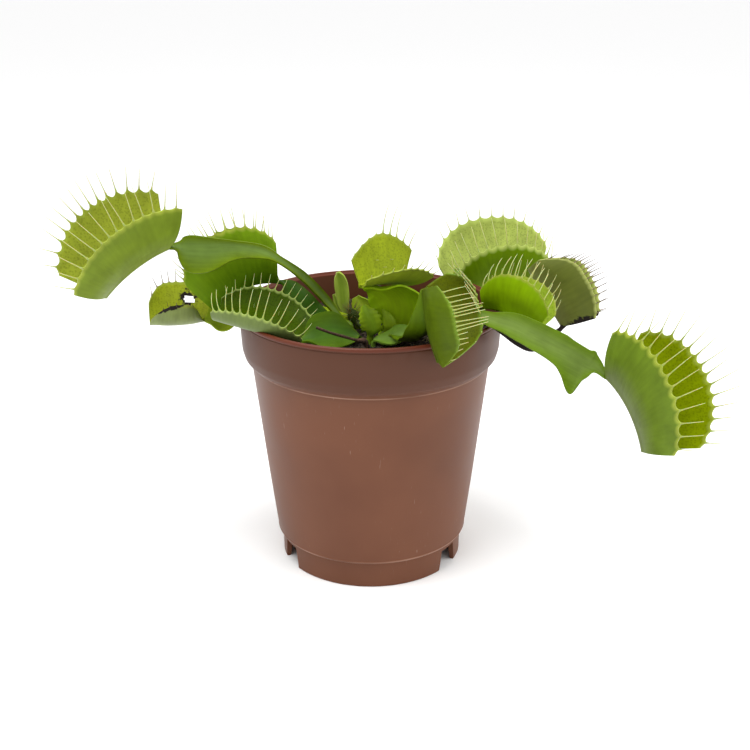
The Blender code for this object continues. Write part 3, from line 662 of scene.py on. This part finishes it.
def lobe_points(leaf, side, s, v):
    """Points of one lobe: s from -1 to 1 along the hinge, v from 0 at the hinge to 1 at the margin"""
    s, v = np.broadcast_arrays(np.asarray(s, float), np.asarray(v, float))
    start, chord, axes = trap_axes(leaf)
    half_bow = math.radians(leaf["bow"]) / 2
    bend = chord / (2 * math.sin(half_bow))
    turn = s * half_bow
    own = {**leaf, **leaf.get("right_lobe", {})} if side < 0 else leaf
    far = s >= 0
    ends = np.where(far, own["ends"][1], own["ends"][0])
    flare = np.where(far, own["flare"][1], own["flare"][0])
    deep = leaf["depth"] * (1 - (1 - ends) * np.abs(s) ** leaf.get("rate", 2.5))
    first, last = np.radians(leaf["left"] if side > 0 else leaf["right"])
    lean = first + (last - first) * v
    out = (math.cos(first) - np.cos(lean)) / (last - first)
    rise = (np.sin(lean) - math.sin(first)) / (last - first)
    spread = flare * leaf["depth"] * s * np.abs(s) * v
    x = bend * (np.sin(turn) + math.sin(half_bow)) + spread * np.cos(turn) + deep * rise * np.sin(turn)
    z = bend * (np.cos(turn) - math.cos(half_bow)) - spread * np.sin(turn) + deep * rise * np.cos(turn)
    return start + np.stack([x, side * deep * out, z], -1) @ axes.T


upright = dict(hinge=((0, 0, 0), (20, 0, 0)), up=(0, 0, 1), bow=30, depth=15, ends=(0.6, 0.6), flare=(0, 0),
               left=(60, 10), right=(60, 10))
print("middle of a left margin, mm:", lobe_points(upright, 1, 0, 1).round(1).tolist())

# %% [markdown]
# ## The leaf as a mesh
# The sheet is built first, as a grid of points with their thickness, then given its two faces. A
# stalk is thick along its midrib, which stands out below, and thin at its wings. A lobe thins
# towards its margin, and the margin is scalloped: it rises to a point under each cilium, with a
# round bay between. A dying trap has dead patches, and a hole where faces are left out.
#
# A sheet is a list of points and a list of faces. A point has its place, its thickness above and
# below, the values edge and trap, its place in the grain, and the value dead.

# %% The sheet
STEPS = 8                                   # rows between two stations
ACROSS = np.linspace(1, -1, 9)              # columns of a stalk, left edge to right
PITCH_COLUMNS = 8                           # columns of a lobe for each cilium
LOBE_ROWS = (0, 0.03, 0.06, 0.09, 0.12, 0.2, 0.3, 0.4, 0.48, 0.54, 0.6, 0.66, 0.72, 0.8, 0.88, 0.94, 0.975,
             1)                             # rows of a lobe, as shares of its depth
NECK_ROWS = (len(ACROSS) - 1) // 2          # rows of each lobe that the stalk runs into
FOLD, RIB = 0.25, 0.75                      # a stalk's rise at its edges, the half width of its midrib


def add_strap(sheet, path, left, above, halves, wave, phase, dead=0.0):
    """Rows of a stalk: folded up a little along the middle, with a midrib below"""
    points, faces = sheet
    gone = np.concatenate([[0], np.cumsum(np.linalg.norm(np.diff(path, axis=0), axis=1))])
    for centre, side, rise, half, run in zip(path, left, above, halves, gone):
        for u in ACROSS:
            w = half[0] if u > 0 else half[1]
            ripple = wave * abs(u) ** 3 * math.sin(run * 0.9 + phase + (2.1 if u > 0 else 0)) * min(w / 4, 1)
            point = centre + side * u * w + rise * (FOLD * w * u * u + ripple)
            rib = math.exp(-(u * w / RIB) ** 2)
            points.append((point, 0.26 + 0.14 * (1 - abs(u)) - 0.1 * rib,
                           0.26 + 0.12 * (1 - abs(u)) + 0.45 * rib, abs(u), 0.0, (run, u * w), dead))
    n = len(ACROSS)
    for start in range(0, n * (len(path) - 1), n):
        faces += [(k, k + n, k + n + 1, k + 1) for k in range(start, start + n - 1)]


print("points across a stalk and across a trap:", len(ACROSS), 2 * len(LOBE_ROWS) - 1)

# %% From sheet to skin
def add_skin(name, sheet, finish):
    """A closed mesh about the sheet, both faces and its edge, and the sheet's normals"""
    points, above, below, edge, trap, grain, dead = (list(values) for values in zip(*sheet[0]))
    points, count = np.array(points), len(points)
    normals = np.zeros_like(points)
    for face in sheet[1]:
        a, b, c, d = (points[k] for k in face)
        normals[list(face)] += np.cross(d - b, c - a)
    normals /= np.maximum(np.linalg.norm(normals, axis=1), 1e-9)[:, None]
    above, below = np.array(above)[:, None], np.array(below)[:, None]
    skin = np.vstack([points + normals * above, points - normals * below])
    faces = [face[::-1] for face in sheet[1]] + [tuple(k + count for k in face) for face in sheet[1]]
    sides = {pair for f in sheet[1] for pair in zip(f, f[1:] + f[:1])}
    for a, b in sorted(pair for pair in sides if pair[::-1] not in sides):
        faces.append((a, b, b + count, a + count))
    mesh = new_mesh(name, skin, faces)
    for label, values in (("edge", edge * 2), ("trap", trap * 2), ("dead", dead * 2),
                          ("inside", [1.0] * count + [0.0] * count)):
        mesh.attributes.new(label, "FLOAT", "POINT").data.foreach_set("value", values)
    corners = np.zeros(len(mesh.loops), np.int32)
    mesh.loops.foreach_get("vertex_index", corners)
    grain = np.array(grain * 2) * MM
    mesh.uv_layers.new(name="skin").data.foreach_set("uv", grain[corners].ravel())
    shape = bmesh.new()
    shape.from_mesh(mesh)
    bmesh.ops.delete(shape, geom=[v for v in shape.verts if not v.link_faces], context="VERTS")
    shape.to_mesh(mesh)
    shape.free()
    mesh.shade_smooth()
    mesh.set_sharp_from_angle(angle=math.radians(50))
    mesh.materials.append(finish)
    return linked(name, mesh), normals


print("finishes so far:", len(bpy.data.materials))

# %% One trap leaf
SINK = 0.35             # how far a cilium is set into the margin
TRIGGERS, TRIGGER_LENGTH = ((-0.28, 0.5), (0.28, 0.5), (0.0, 0.32)), 1.9     # places on a lobe, length


def in_patch(patches, side, s, v):
    """How deep a point lies in the deepest of some oval patches of a trap: 1 at a centre, 0 outside"""
    return max([1 - math.hypot((s - s0) / ds, (v - v0) / dv)
                for where, s0, v0, ds, dv in patches if where in (side, 0)] + [0.0])


def trap_leaf(name, leaf, finish):
    """One leaf's skin, and where its cilia and trigger hairs stand"""
    start, chord, axes = trap_axes(leaf)
    half_bow = math.radians(leaf["bow"]) / 2
    rows = rooted(leaf, leaf["stalk"]) + [(*leaf["hinge"][0], 0.9, 0.9, 0)]
    tangent = axes @ np.array([math.cos(half_bow), 0, math.sin(half_bow)])
    tangent = unit(tangent + unit(start - np.array(leaf["stalk"][-1][:3])))
    path, left, above, halves = stations(leaf, rows, STEPS, tangent, axes[:, 1])
    points, faces = sheet = [], []
    add_strap(sheet, path[:-1], left[:-1], above[:-1], halves[:-1], 0.2, leaf["base"][0],
              leaf.get("dead_stalk", 0.0))
    neck = len(points) - len(ACROSS)

    teeth, last = leaf["teeth"], len(LOBE_ROWS) - 1
    columns = teeth * PITCH_COLUMNS
    s = -1 + 2 * np.arange(columns + 1) / columns
    between = np.abs(2 * (np.arange(columns + 1) % PITCH_COLUMNS) / PITCH_COLUMNS - 1)
    bay = (2 * between - between ** 2) / leaf["depth"]
    grid = np.zeros((columns + 1, 2 * last + 1, 3))
    for row in range(-last, last + 1):
        side, v = (1 if row > 0 else -1), LOBE_ROWS[abs(row)]
        notch = bay * leaf["scallop"][side < 0]
        shifted = s + side * 0.25 / teeth * v * (1 - s ** 4)
        grid[:, row + last] = lobe_points(leaf, side, shifted, v * (1 + (0.02 - notch) * v ** 3))
    for _ in range(3):      # round the fold at the hinge
        middle = slice(last - 4, last + 5)
        grid[:, middle] = (grid[:, last - 5:last + 4] + 2 * grid[:, middle] + grid[:, last - 3:last + 6]) / 4
    at = {}
    for j in range(columns + 1):
        for row in range(-last, last + 1):
            v = LOBE_ROWS[abs(row)]
            side = (row > 0) - (row < 0)
            thin = 0.42 - 0.2 * v
            rib = 0.55 * math.exp(-(v * leaf["depth"] / 1.3) ** 2)
            dead = in_patch(leaf.get("dead", ()), side, s[j], v)
            grain = (v * leaf["depth"], s[j] * chord / 2)
            at[j, row] = len(points)
            points.append((grid[j, row + last], thin, thin + rib, v, 1.0, grain, dead))
    for j in range(columns):
        for row in range(last, -last, -1):
            middle = (s[j] + s[j + 1]) / 2, (LOBE_ROWS[abs(row)] + LOBE_ROWS[abs(row - 1)]) / 2
            if in_patch(leaf.get("holes", ()), 1 if row > 0 else -1, *middle) <= 0:
                faces.append((at[j, row], at[j + 1, row], at[j + 1, row - 1], at[j, row - 1]))
    for k in range(len(ACROSS) - 1):
        row = NECK_ROWS - k
        faces.append((neck + k, at[0, row], at[0, row - 1], neck + k + 1))
    piece, normals = add_skin(name, sheet, finish)

    roots, ways, bows, triggers = [], [], [], []
    for side in (1, -1):
        margin = grid[:, side * last + last]
        length, curl, fan = leaf["cilia"][side < 0]
        crowd = leaf.get("crowd", {}).get(side, 1)
        places = list(range(PITCH_COLUMNS // 2, columns, PITCH_COLUMNS))
        places += [j for j in range(PITCH_COLUMNS, columns, PITCH_COLUMNS) if s[j] < -crowd]
        for j in places:
            grow_way = unit(margin[j] - grid[j, side * (last - 3) + last])
            along = unit(margin[min(j + 2, columns)] - margin[max(j - 2, 0)])
            tall = length * (1 - 0.35 * s[j] ** 2)
            for s0, s1, share in leaf.get("short", {}).get(side, ()):
                if s0 <= s[j] <= s1:
                    tall *= share
            aim = np.array(leaf.get("aim", {}).get(side, (0, 0, 0))) * (1 - s[j])
            roots.append(margin[j] - grow_way * SINK)
            ways.append(unit(grow_way + along * fan * s[j] + aim + 0.06 * rng.normal(size=3)) * tall)
            bows.append(normals[at[j, side * last]] * curl * tall)
        for s0, v0 in TRIGGERS:
            j = int(round((s0 + 1) / 2 * columns))
            row = side * min(range(last), key=lambda r: abs(LOBE_ROWS[r] - v0))
            triggers.append((grid[j, row + last], normals[at[j, row]] * TRIGGER_LENGTH))
    return piece, (roots, ways, bows), triggers


print("trigger hairs in a trap:", 2 * len(TRIGGERS))

# %% [markdown]
# ## Ten trap leaves
# Each leaf has its own skin finish: fresh yellow green, deep green, dying and withered. Its colours
# also hold painted light and shade, because some leaves lie in light and some in shade: the colour
# along a hinge is a painted sheen where paler and painted shade where darker, the front left and
# left back leaves carry painted shade, and the middle leaf painted light. A row of a stalk is a
# station: its place in millimetres, the half width on either side, and the roll. Up is where the trap
# opens, and bow the bend of its hinge in degrees. Ends and flare have a value for the end by the stalk
# and one for the far end: the share of the depth that is left there, and how much the lobe spreads.
# Rate says how late it narrows.
# Left and right are the lean of a lobe, at the hinge and at the margin. Scallop and cilia have a
# value for the left lobe and one for the right: how deep the bays are, and for a row of cilia its
# length in millimetres, how much it bows inwards and how much it fans out.
#
# A few traps need more. A right_lobe has values of its own. By side, 1 for left and -1 for right,
# short cuts the cilia of a stretch, aim bends a row towards a place, and crowd sets more of them
# near the stalk. A patch in dead or holes has its side, its centre and its half sizes. Slot names a
# leaf's kind of finish; where a leaf names none, it is leaf_fresh.

# %% Leaves on the left
LEAVES = {}
LEAVES["leaf_far_left"] = dict(
    base=(-5.4, 1.2),
    stalk=[(-8.9, 0.9, 75.8, 1.4, 1.0, -35), (-13.5, 0.0, 82.3, 1.6, 1.4, -50),
           (-19.7, -5.4, 91.0, 1.6, 1.4, -50), (-25.8, -9.0, 96.8, 1.2, 1.1, -60),
           (-31.2, -9.3, 99.9, 2.4, 1.6, -72), (-39.0, -8.3, 101.0, 4.0, 1.6, -75),
           (-47.2, -8.0, 100.6, 7.2, 3.0, -75), (-52.6, -8.2, 100.8, 7.0, 3.2, -70),
           (-55.2, -7.6, 100.6, 1.8, 2.0, -34)],
    hinge=((-58.4, -6.6, 100.3), (-76.0, -15.6, 88.2)), up=(-0.35, -0.43, 0.83),
    bow=32, depth=22.1, ends=(0.74, 0.66), left=(50, 4), right=(53, 17),
    flare=(0.2, 0.16), teeth=14, scallop=(0.6, 1.6),
    cilia=((10.5, 0.1, 0.25), (7.5, 0.05, 0.3)),
    # The hinge keeps the default colour, a painted sheen along the hinge.
    skin=dict(stalk="5a7030", wing="566a06", outside="697c22", inside="808a28"))
LEAVES["leaf_left_back"] = dict(
    base=(-5.2, -2.6),
    stalk=[(-8.6, -4.6, 74.8, 2.6, 1.3, -25), (-13.4, -3.9, 78.5, 4.8, 1.3, -35),
           (-19.1, -0.4, 83.2, 5.4, 1.6, -38), (-23.6, 2.0, 85.6, 4.4, 2.0, -35),
           (-26.3, 2.8, 86.8, 1.2, 1.2, 0)],
    hinge=((-27.9, 3.1, 87.1), (-47.0, -1.5, 79.2)), up=(-0.39, 0.05, 0.92),
    bow=60, depth=20.6, ends=(0.65, 0.66), left=(49, -13), right=(59, 4),
    flare=(-0.11, -0.11), teeth=13, scallop=(0.9, 0.7),
    cilia=((6.0, 0.1, 0.2), (6.5, 0.1, 0.2)),
    # Painted shade: the dark hinge colour stands for the shade on the trap's underside.
    skin=dict(stalk="274408", wing="304a08", outside="62800c", hinge="446608", inside="6f8a2a",
              gloss=0.06))
LEAVES["leaf_front_left"] = dict(
    base=(-3.2, -6.2),
    stalk=[(-6.8, -9.6, 74.7, 3.8, 4.0, -45), (-11.2, -13.0, 76.2, 5.4, 6.2, -50),
           (-15.6, -15.4, 76.2, 5.0, 5.4, -45), (-18.4, -16.4, 75.4, 1.8, 2.0, -20)],
    hinge=((-20.4, -16.8, 74.9), (-44.6, -13.8, 81.8)), up=(0.24, -0.08, 0.97),
    bow=26, depth=15.2, ends=(0.66, 0.52), left=(110, 6), right=(94, 34),
    flare=(0.01, 0.01), teeth=13, scallop=(1.0, 0.6),
    cilia=((7.2, 0.3, 0.5), (4.2, 0.1, 0.4)),
    # Painted shade: this trap lies low in the pot, and its dark inside and dark hinge stand for that shade.
    # Its grey outside is partly a painted sheen.
    skin=dict(inside="344800", stalk="3c5a18", wing="4a6410", outside="62723a", hinge="3a5a10",
              margin="8a9a50"))
LEAVES["leaf_dying_left"] = dict(
    base=(-3.9, 4.8), slot="leaf_dying",
    stalk=[(-13.9, 5.6, 77.1, 1.2, 1.2, -10), (-28.1, 5.4, 81.1, 1.5, 1.5, -20),
           (-38.6, 5.6, 83.0, 2.0, 1.6, -35), (-42.2, 6.2, 80.6, 4.6, 1.8, -48),
           (-44.2, 7.0, 77.2, 6.6, 4.0, -55), (-46.4, 8.2, 74.6, 5.6, 6.4, -52),
           (-48.9, 8.9, 73.6, 2.8, 5.8, -35), (-50.6, 9.3, 73.3, 1.6, 4.6, -30)],
    hinge=((-51.6, 9.6, 73.2), (-67.8, 5.4, 73.5)), up=(0.05, -0.11, 0.99),
    bow=-9, depth=16.9, ends=(0.42, 0.2), left=(86, 11), right=(87, 44), rate=2.9,
    flare=(-0.12, -0.02), teeth=8, scallop=(0.2, 0.4), dry=True,
    right_lobe=dict(ends=(0.62, 0.5), flare=(0.4, -0.02)),
    cilia=((1.2, 0.1, 0.1), (4.6, 0.1, 0.6)),
    dead=((1, 0.4, 1.0, 0.9, 0.14), (-1, -0.42, 0.64, 0.42, 0.34)),
    holes=((-1, -0.46, 0.62, 0.15, 0.1),),
    skin=dict(outside="6f7c42", hinge="75833f", inside="768012", wing="7a8c14",
              stalk="74880f", margin="7f8a30"))
print("leaves on the left:", len(LEAVES))

# %% Leaves in the middle and at the back
LEAVES["leaf_centre"] = dict(
    base=(3.4, -2.8), heading=(0, 1),
    stalk=[(6.0, -3.6, 75.2, 4.6, 6.4, 0), (7.4, -4.6, 79.4, 7.0, 8.8, 0),
           (6.6, -6.0, 84.2, 7.0, 8.6, 0), (3.4, -8.4, 87.9, 5.8, 6.6, 0),
           (-0.6, -10.8, 89.3, 2.4, 1.8, 0)],
    hinge=((-3.0, -11.7, 90.0), (9.9, -2.4, 87.8)), up=(0.38, -0.33, 0.86),
    bow=32, depth=14.2, ends=(0.55, 0.74), left=(50, 36), right=(54, 10), rate=1.7,
    flare=(0.07, 0.12), teeth=9, scallop=(0.4, 0.5),
    cilia=((8.5, 0.25, 0.1), (4.0, 0.1, 0.1)),
    short={1: ((-1.1, -0.15, 0.12),), -1: ((-1.1, 0.1, 0.5),)},
    # Partly painted light: the bright stalk, wing and outside are the leaf's yellow green, raised to stand
    # for light on faces that lie in the shade of the trap above.
    skin=dict(stalk="a4c41c", wing="94b814", inside="828f1a", outside="94a428", hinge="9eae36"))
LEAVES["leaf_front_right"] = dict(
    base=(3.8, -9.4), slot="leaf_deep",
    stalk=[(8.4, -12.4, 74.8, 3.0, 3.0, 0), (11.6, -21.5, 76.8, 4.4, 4.4, 5),
           (13.6, -30.8, 81.6, 5.0, 4.6, 5), (14.5, -36.4, 89.2, 3.4, 3.0, -10)],
    hinge=((14.5, -37.6, 96.6), (18.6, -41.6, 77.5)), up=(0.74, -0.61, 0.28),
    bow=-27, depth=20.0, ends=(0.45, 0.05), left=(97, 67), right=(54, 7),
    flare=(0.14, 0.09), rate=5.0, teeth=12, scallop=(0.4, 0.3),
    cilia=((11.0, 0.0, 0.0), (9.0, 0.1, 0.0)), short={1: ((0.1, 1.1, 0.05),), -1: ((0.15, 1.1, 0.35),)},
    aim={1: (-1.6, -2.0, 1.6), -1: (0.8, -0.2, 0.4)}, crowd={1: 0.1, -1: 0.35},
    skin=dict(stalk="4a6208", wing="566e0c", outside="485a06", hinge="3f4f0a", inside="4c5504",
              margin="627a22", gloss=0.07))
LEAVES["leaf_back_right"] = dict(
    base=(4.8, 4.0),
    stalk=[(15.5, 8.0, 74.6, 1.8, 1.8, 0), (25.4, 19.5, 77.4, 1.9, 1.9, 0),
           (27.8, 26.4, 81.9, 1.4, 1.4, 0), (28.8, 31.8, 82.6, 1.2, 1.2, 0),
           (29.2, 36.5, 77.6, 1.0, 1.0, 0)],
    hinge=((29.4, 40.4, 69.0), (57.7, 43.1, 72.2)), up=(-0.15, 0.21, 0.97),
    bow=70, depth=26.0, ends=(0.57, 0.65), left=(58, 2), right=(106, 4),
    flare=(-0.14, -0.14), teeth=14, scallop=(0.9, 1.0),
    cilia=((4.5, 0.1, 0.2), (9.0, 0.15, 0.1)),
    skin=dict(inside="889545", outside="597504", hinge="4a6600", margin="a3b25a",
              gloss=0.05))
print("leaves so far:", len(LEAVES))

# %% Leaves on the right
LEAVES["leaf_right_small"] = dict(
    base=(7.6, 1.4),
    stalk=[(14.9, 0.0, 76.4, 1.5, 1.5, 0), (23.7, -3.2, 79.8, 1.6, 1.6, 0)],
    hinge=((33.6, -6.4, 82.0), (49.0, -14.8, 77.8)), up=(0.16, 0.26, 0.95),
    bow=32, depth=14.0, ends=(0.42, 0.5), left=(64, 5), right=(66, 6),
    flare=(0.04, 0.04), teeth=12, scallop=(0.4, 0.4),
    cilia=((5.0, 0.35, 0.1), (6.0, 0.55, 0.1)),
    skin=dict(outside="769704", hinge="6a8e00", inside="7a9020", gloss=0.06))
LEAVES["leaf_far_right"] = dict(
    base=(6.8, -6.0),
    stalk=[(15.9, -11.5, 77.3, 1.7, 1.7, 15), (24.3, -17.0, 81.5, 1.8, 1.8, 30),
           (30.1, -22.5, 84.2, 1.7, 1.9, 45), (34.6, -25.2, 83.8, 2.2, 2.4, 55),
           (40.6, -24.8, 81.8, 3.6, 3.5, 60), (52.2, -23.2, 75.4, 4.2, 4.5, 62),
           (56.5, -22.9, 73.1, 3.8, 6.6, 64), (60.8, -22.6, 70.6, 3.5, 10.4, 64),
           (62.6, -22.6, 69.6, 4.0, 4.8, 62), (64.8, -22.4, 68.3, 2.4, 1.6, 48)],
    hinge=((68.0, -22.4, 65.3), (76.5, -37.8, 48.9)), up=(0.38, -0.57, 0.73),
    bow=47, depth=24.6, ends=(0.69, 0.68), left=(49, 10), right=(31, -9),
    flare=(0.05, 0.05), teeth=14, scallop=(1.4, 1.4),
    cilia=((11.0, 0.05, 0.2), (9.5, 0.05, 0.1)),
    # The grey hinge colour is a painted sheen along the hinge.
    skin=dict(stalk="657a36", wing="5c7618", outside="5b711c", hinge="62703a", inside="707f02"))
LEAVES["leaf_withered_right"] = dict(
    base=(8.0, -2.3), slot="leaf_withered", dead_stalk=1.0,
    stalk=[(17.0, -8.8, 75.8, 0.8, 0.8, 0), (25.5, -15.6, 80.6, 0.8, 0.8, 0),
           (30.6, -19.6, 82.2, 0.9, 0.9, 0), (35.0, -22.2, 81.0, 1.0, 1.0, 20),
           (42.0, -21.0, 75.6, 1.0, 1.2, 40), (47.6, -15.0, 71.8, 0.9, 0.9, 60),
           (52.0, -5.5, 70.6, 0.7, 0.7, 85), (56.2, 0.2, 71.2, 0.7, 0.7, 115)],
    hinge=((59.0, 3.8, 72.4), (48.9, 10.4, 89.0)), up=(0.79, -0.22, 0.57),
    bow=-7, depth=17.4, ends=(0.71, 0.26), left=(48, -1), right=(62, 18),
    flare=(0.19, 0.04), rate=3.3, teeth=13, scallop=(0.4, 0.6),
    cilia=((4.5, 0.1, 0.1), (4.5, 0.1, 0.1)), dead=((0, -1.05, 0.6, 0.3, 0.9),),
    skin=dict(stalk="5a6040", wing="5a6040", hinge="6a703a", outside="5a6226", inside="707c30",
              margin="9aa05a"), dry=True)
print("leaves in all:", len(LEAVES))

# %% Grow the leaves
for name, leaf in LEAVES.items():
    tag = name.replace("leaf_", "")
    piece, cilia, triggers = trap_leaf(name + "_fine", leaf, leaf_skin(tag, **leaf["skin"]))
    slot = leaf.get("slot", "leaf_fresh")
    hand_over(piece, name)
    finish = hair_dry if leaf.get("dry") else hair_pale
    grow("cilia_" + tag, *cilia, finish, slot)
    grow("triggers_" + tag, [p for p, _ in triggers], [w for _, w in triggers],
         [w * 0 for _, w in triggers], finish, slot, radius=0.11, flare=0.6, bends=4)
    print(name, "triangles:", sum(len(p.vertices) - 2 for p in piece.data.polygons))

# %% [markdown]
# ## Young leaves
# In the middle stand leaves that are not grown yet: flat blades with no trap, round shut traps, and
# one dead stem. Blades are straps like the stalks; the shut traps are oval sections along a curve.
# One small blade is new: it has no solid of its own.

# %% Blades
BLADES = {}
BLADES["young_leaf_spoon"] = dict(
    base=(-1.2, 6.9), slot="leaf_pale", heading=(0, 1),
    stalk=[(-6.4, 7.9, 74.4, 1.0, 1.0, 0), (-8.2, 8.2, 77.8, 1.6, 1.6, 0),
           (-8.6, 8.5, 81.6, 2.0, 2.0, 0), (-9.0, 8.7, 84.6, 2.0, 2.0, 0),
           (-9.5, 8.7, 86.9, 1.5, 1.5, 0), (-9.9, 8.6, 88.2, 0.5, 0.5, 0)],
    skin=dict(stalk="768c2c", wing="8a9c3c"))
BLADES["young_leaf_sprig"] = dict(
    base=(-3.4, 9.4), slot="leaf_deep", heading=(0, 1),
    stalk=[(-7.4, 10.4, 74.0, 0.8, 0.8, 0), (-9.8, 11.0, 76.4, 1.1, 1.1, 0),
           (-11.4, 11.8, 80.3, 0.4, 0.4, 0)],
    skin=dict(stalk="5f7420", wing="7d8c34"))
BLADES["young_leaf_pale"] = dict(
    base=(1.6, 0.8), slot="leaf_pale", heading=(0, 1),
    stalk=[(-0.6, 4.4, 75.4, 1.9, 1.9, 0), (-3.0, 5.2, 78.6, 3.0, 3.0, 0),
           (-4.6, 5.8, 81.2, 1.2, 1.2, 0)],
    skin=dict(stalk="7f9226", wing="6f8218"))
BLADES["young_leaf_front"] = dict(
    base=(-0.2, -7.2), heading=(0, -1),
    stalk=[(0.6, -9.0, 75.4, 2.6, 2.8, 0), (-0.2, -9.2, 78.4, 3.2, 3.0, 0),
           (-1.2, -8.8, 81.0, 2.4, 2.2, 0), (-2.0, -8.0, 82.9, 0.6, 0.6, 0)], teeth=0.5,
    skin=dict(stalk="6f8c1c", wing="86a01c"))
BLADES["young_leaf_low"] = dict(
    base=(0.8, -9.2), heading=(1, -0.4), new=True,
    stalk=[(4.6, -11.6, 73.8, 2.2, 2.2, 40), (7.4, -13.4, 75.0, 3.2, 2.8, 45),
           (10.4, -14.2, 76.6, 2.6, 2.2, 50), (12.6, -14.6, 78.2, 0.6, 0.6, 50)],
    skin=dict(stalk="6f8c3c", wing="6a8a2c"))
for name, leaf in BLADES.items():
    path, left, above, halves = stations(leaf, rooted(leaf, leaf["stalk"]), STEPS)
    sheet = [], []
    if "teeth" in leaf:      # a toothed edge: the half widths go in and out
        halves = halves * (1 + 0.12 * np.sin(leaf["teeth"] * math.pi * np.arange(len(halves))))[:, None]
    add_strap(sheet, path, left, above, halves, 0.25, 1.0)
    piece, _ = add_skin(name + "_fine", sheet, leaf_skin(name, **leaf["skin"], roughness=0.32))
    hand_over(piece, None if "new" in leaf else name)
print("blades:", len(BLADES))

# %% Shut traps and the dead stem
SHOOTS = {}
SHOOTS["young_trap_dark"] = dict(
    base=(-2.2, 1.6), slot="leaf_dark", heading=(0, 1), skin=dict(outside="333e10", hinge="2e3810"),
    sections=[(-4.0, 2.6, 74.0, 0.9, 0.7, 0), (-4.9, 3.0, 75.3, 1.7, 1.0, 0),
              (-5.5, 3.2, 76.8, 1.7, 1.0, 0), (-6.1, 3.4, 78.2, 0.7, 0.5, 0)])
SHOOTS["young_trap_bud"] = dict(
    base=(3.2, -6.2), slot="leaf_pale", skin=dict(outside="86a01a", hinge="7c9618"),
    sections=[(4.6, -7.6, 74.4, 0.9, 0.8, 0), (5.6, -8.4, 76.8, 2.0, 1.4, 0),
              (4.9, -8.4, 79.4, 1.5, 1.1, 0), (3.6, -8.2, 81.6, 0.45, 0.4, 0)])
SHOOTS["dead_stem"] = dict(
    base=(-1.4, -11.0), slot="dead", skin=None,
    sections=[(-4.3, -13.4, 74.0, 0.45, 0.45, 0), (-7.9, -16.6, 76.2, 0.45, 0.45, 0),
              (-11.6, -19.9, 78.5, 0.4, 0.4, 0), (-15.3, -22.5, 80.9, 0.4, 0.4, 0)])
OVAL_SIDES = 20
for name, leaf in SHOOTS.items():
    path, left, above, halves = stations(leaf, rooted(leaf, leaf["sections"]), STEPS)
    halves[:2 * STEPS] = np.minimum(halves[:2 * STEPS], 0.8)
    points = [path[0]]
    for centre, side, rise, (wide, thick) in zip(path, left, above, halves):
        for k in range(OVAL_SIDES):
            a = 2 * math.pi * k / OVAL_SIDES
            points.append(centre + side * wide * math.cos(a) + rise * thick * math.sin(a))
    points.append(path[-1] + unit(path[-1] - path[-2]) * halves[-1, 1] * 0.5)
    turned = [(first, *rest[::-1]) for first, *rest in ring_faces(OVAL_SIDES, len(path))]
    mesh = new_mesh(name + "_fine", points, turned)
    mesh.shade_smooth()
    mesh.materials.append(leaf_skin(name, **leaf["skin"]) if leaf["skin"] else dead_stalk)
    mesh.attributes.new("trap", "FLOAT", "POINT").data.foreach_set("value", [1.0] * len(points))
    mesh.uv_layers.new(name="skin")
    hand_over(linked(name + "_fine", mesh), name)
    print(name, "faces:", len(turned))

# %% [markdown]
# ## Hairs on the dark trap, and moss
# The shut dark trap already wears its cilia, short and dark, all round like a burr. Dried moss lies
# on the peat as loose pale strands, mostly beside the right-hand stalks and behind the left-hand
# ones. Both come from the bristle tree, with roots and directions drawn from the fixed seed.

# %% Hairs and moss strands
BURR_CENTRE, BURR_HAIRS = np.array((-5.4, 3.2, 76.6)), 70
ways = rng.normal(size=(BURR_HAIRS, 3))
ways = ways / np.linalg.norm(ways, axis=1)[:, None]
grow("cilia_dark_trap", BURR_CENTRE + ways * (1.6, 0.9, 2.2), ways * (2.4, 1.6, 2.4), ways * 0 + (0, 0, 0.5),
     hair_burr, "leaf_dark", radius=0.09, flare=0.4, bends=5, sides=4)

STRANDS, STRAND_LENGTH = 260, 2.4
spots, ways = [], []
while len(spots) < STRANDS:
    x, y = rng.uniform(-35, 35, 2)
    clump = math.hypot(x - 14, y + 9) < 13 or math.hypot(x + 14, y - 20) < 9 or rng.random() < 0.25
    if math.hypot(x, y) < 34.5 and clump:
        spots.append((x, y, soil_height(x, y) + 0.2))
        turn = rng.uniform(0, 2 * math.pi)
        ways.append((STRAND_LENGTH * math.cos(turn), STRAND_LENGTH * math.sin(turn), rng.uniform(0.2, 1.6)))
bows = rng.normal(0, 0.9, (STRANDS, 3)) * (1, 1, 0.3) - (0, 0, 0.4)
grow("moss_strands", spots, ways, bows, moss, "soil", radius=0.13, flare=0.0, uneven=0.5, bends=6, sides=4)
print("hairs of the burr:", BURR_HAIRS, "strands of moss:", len(spots))
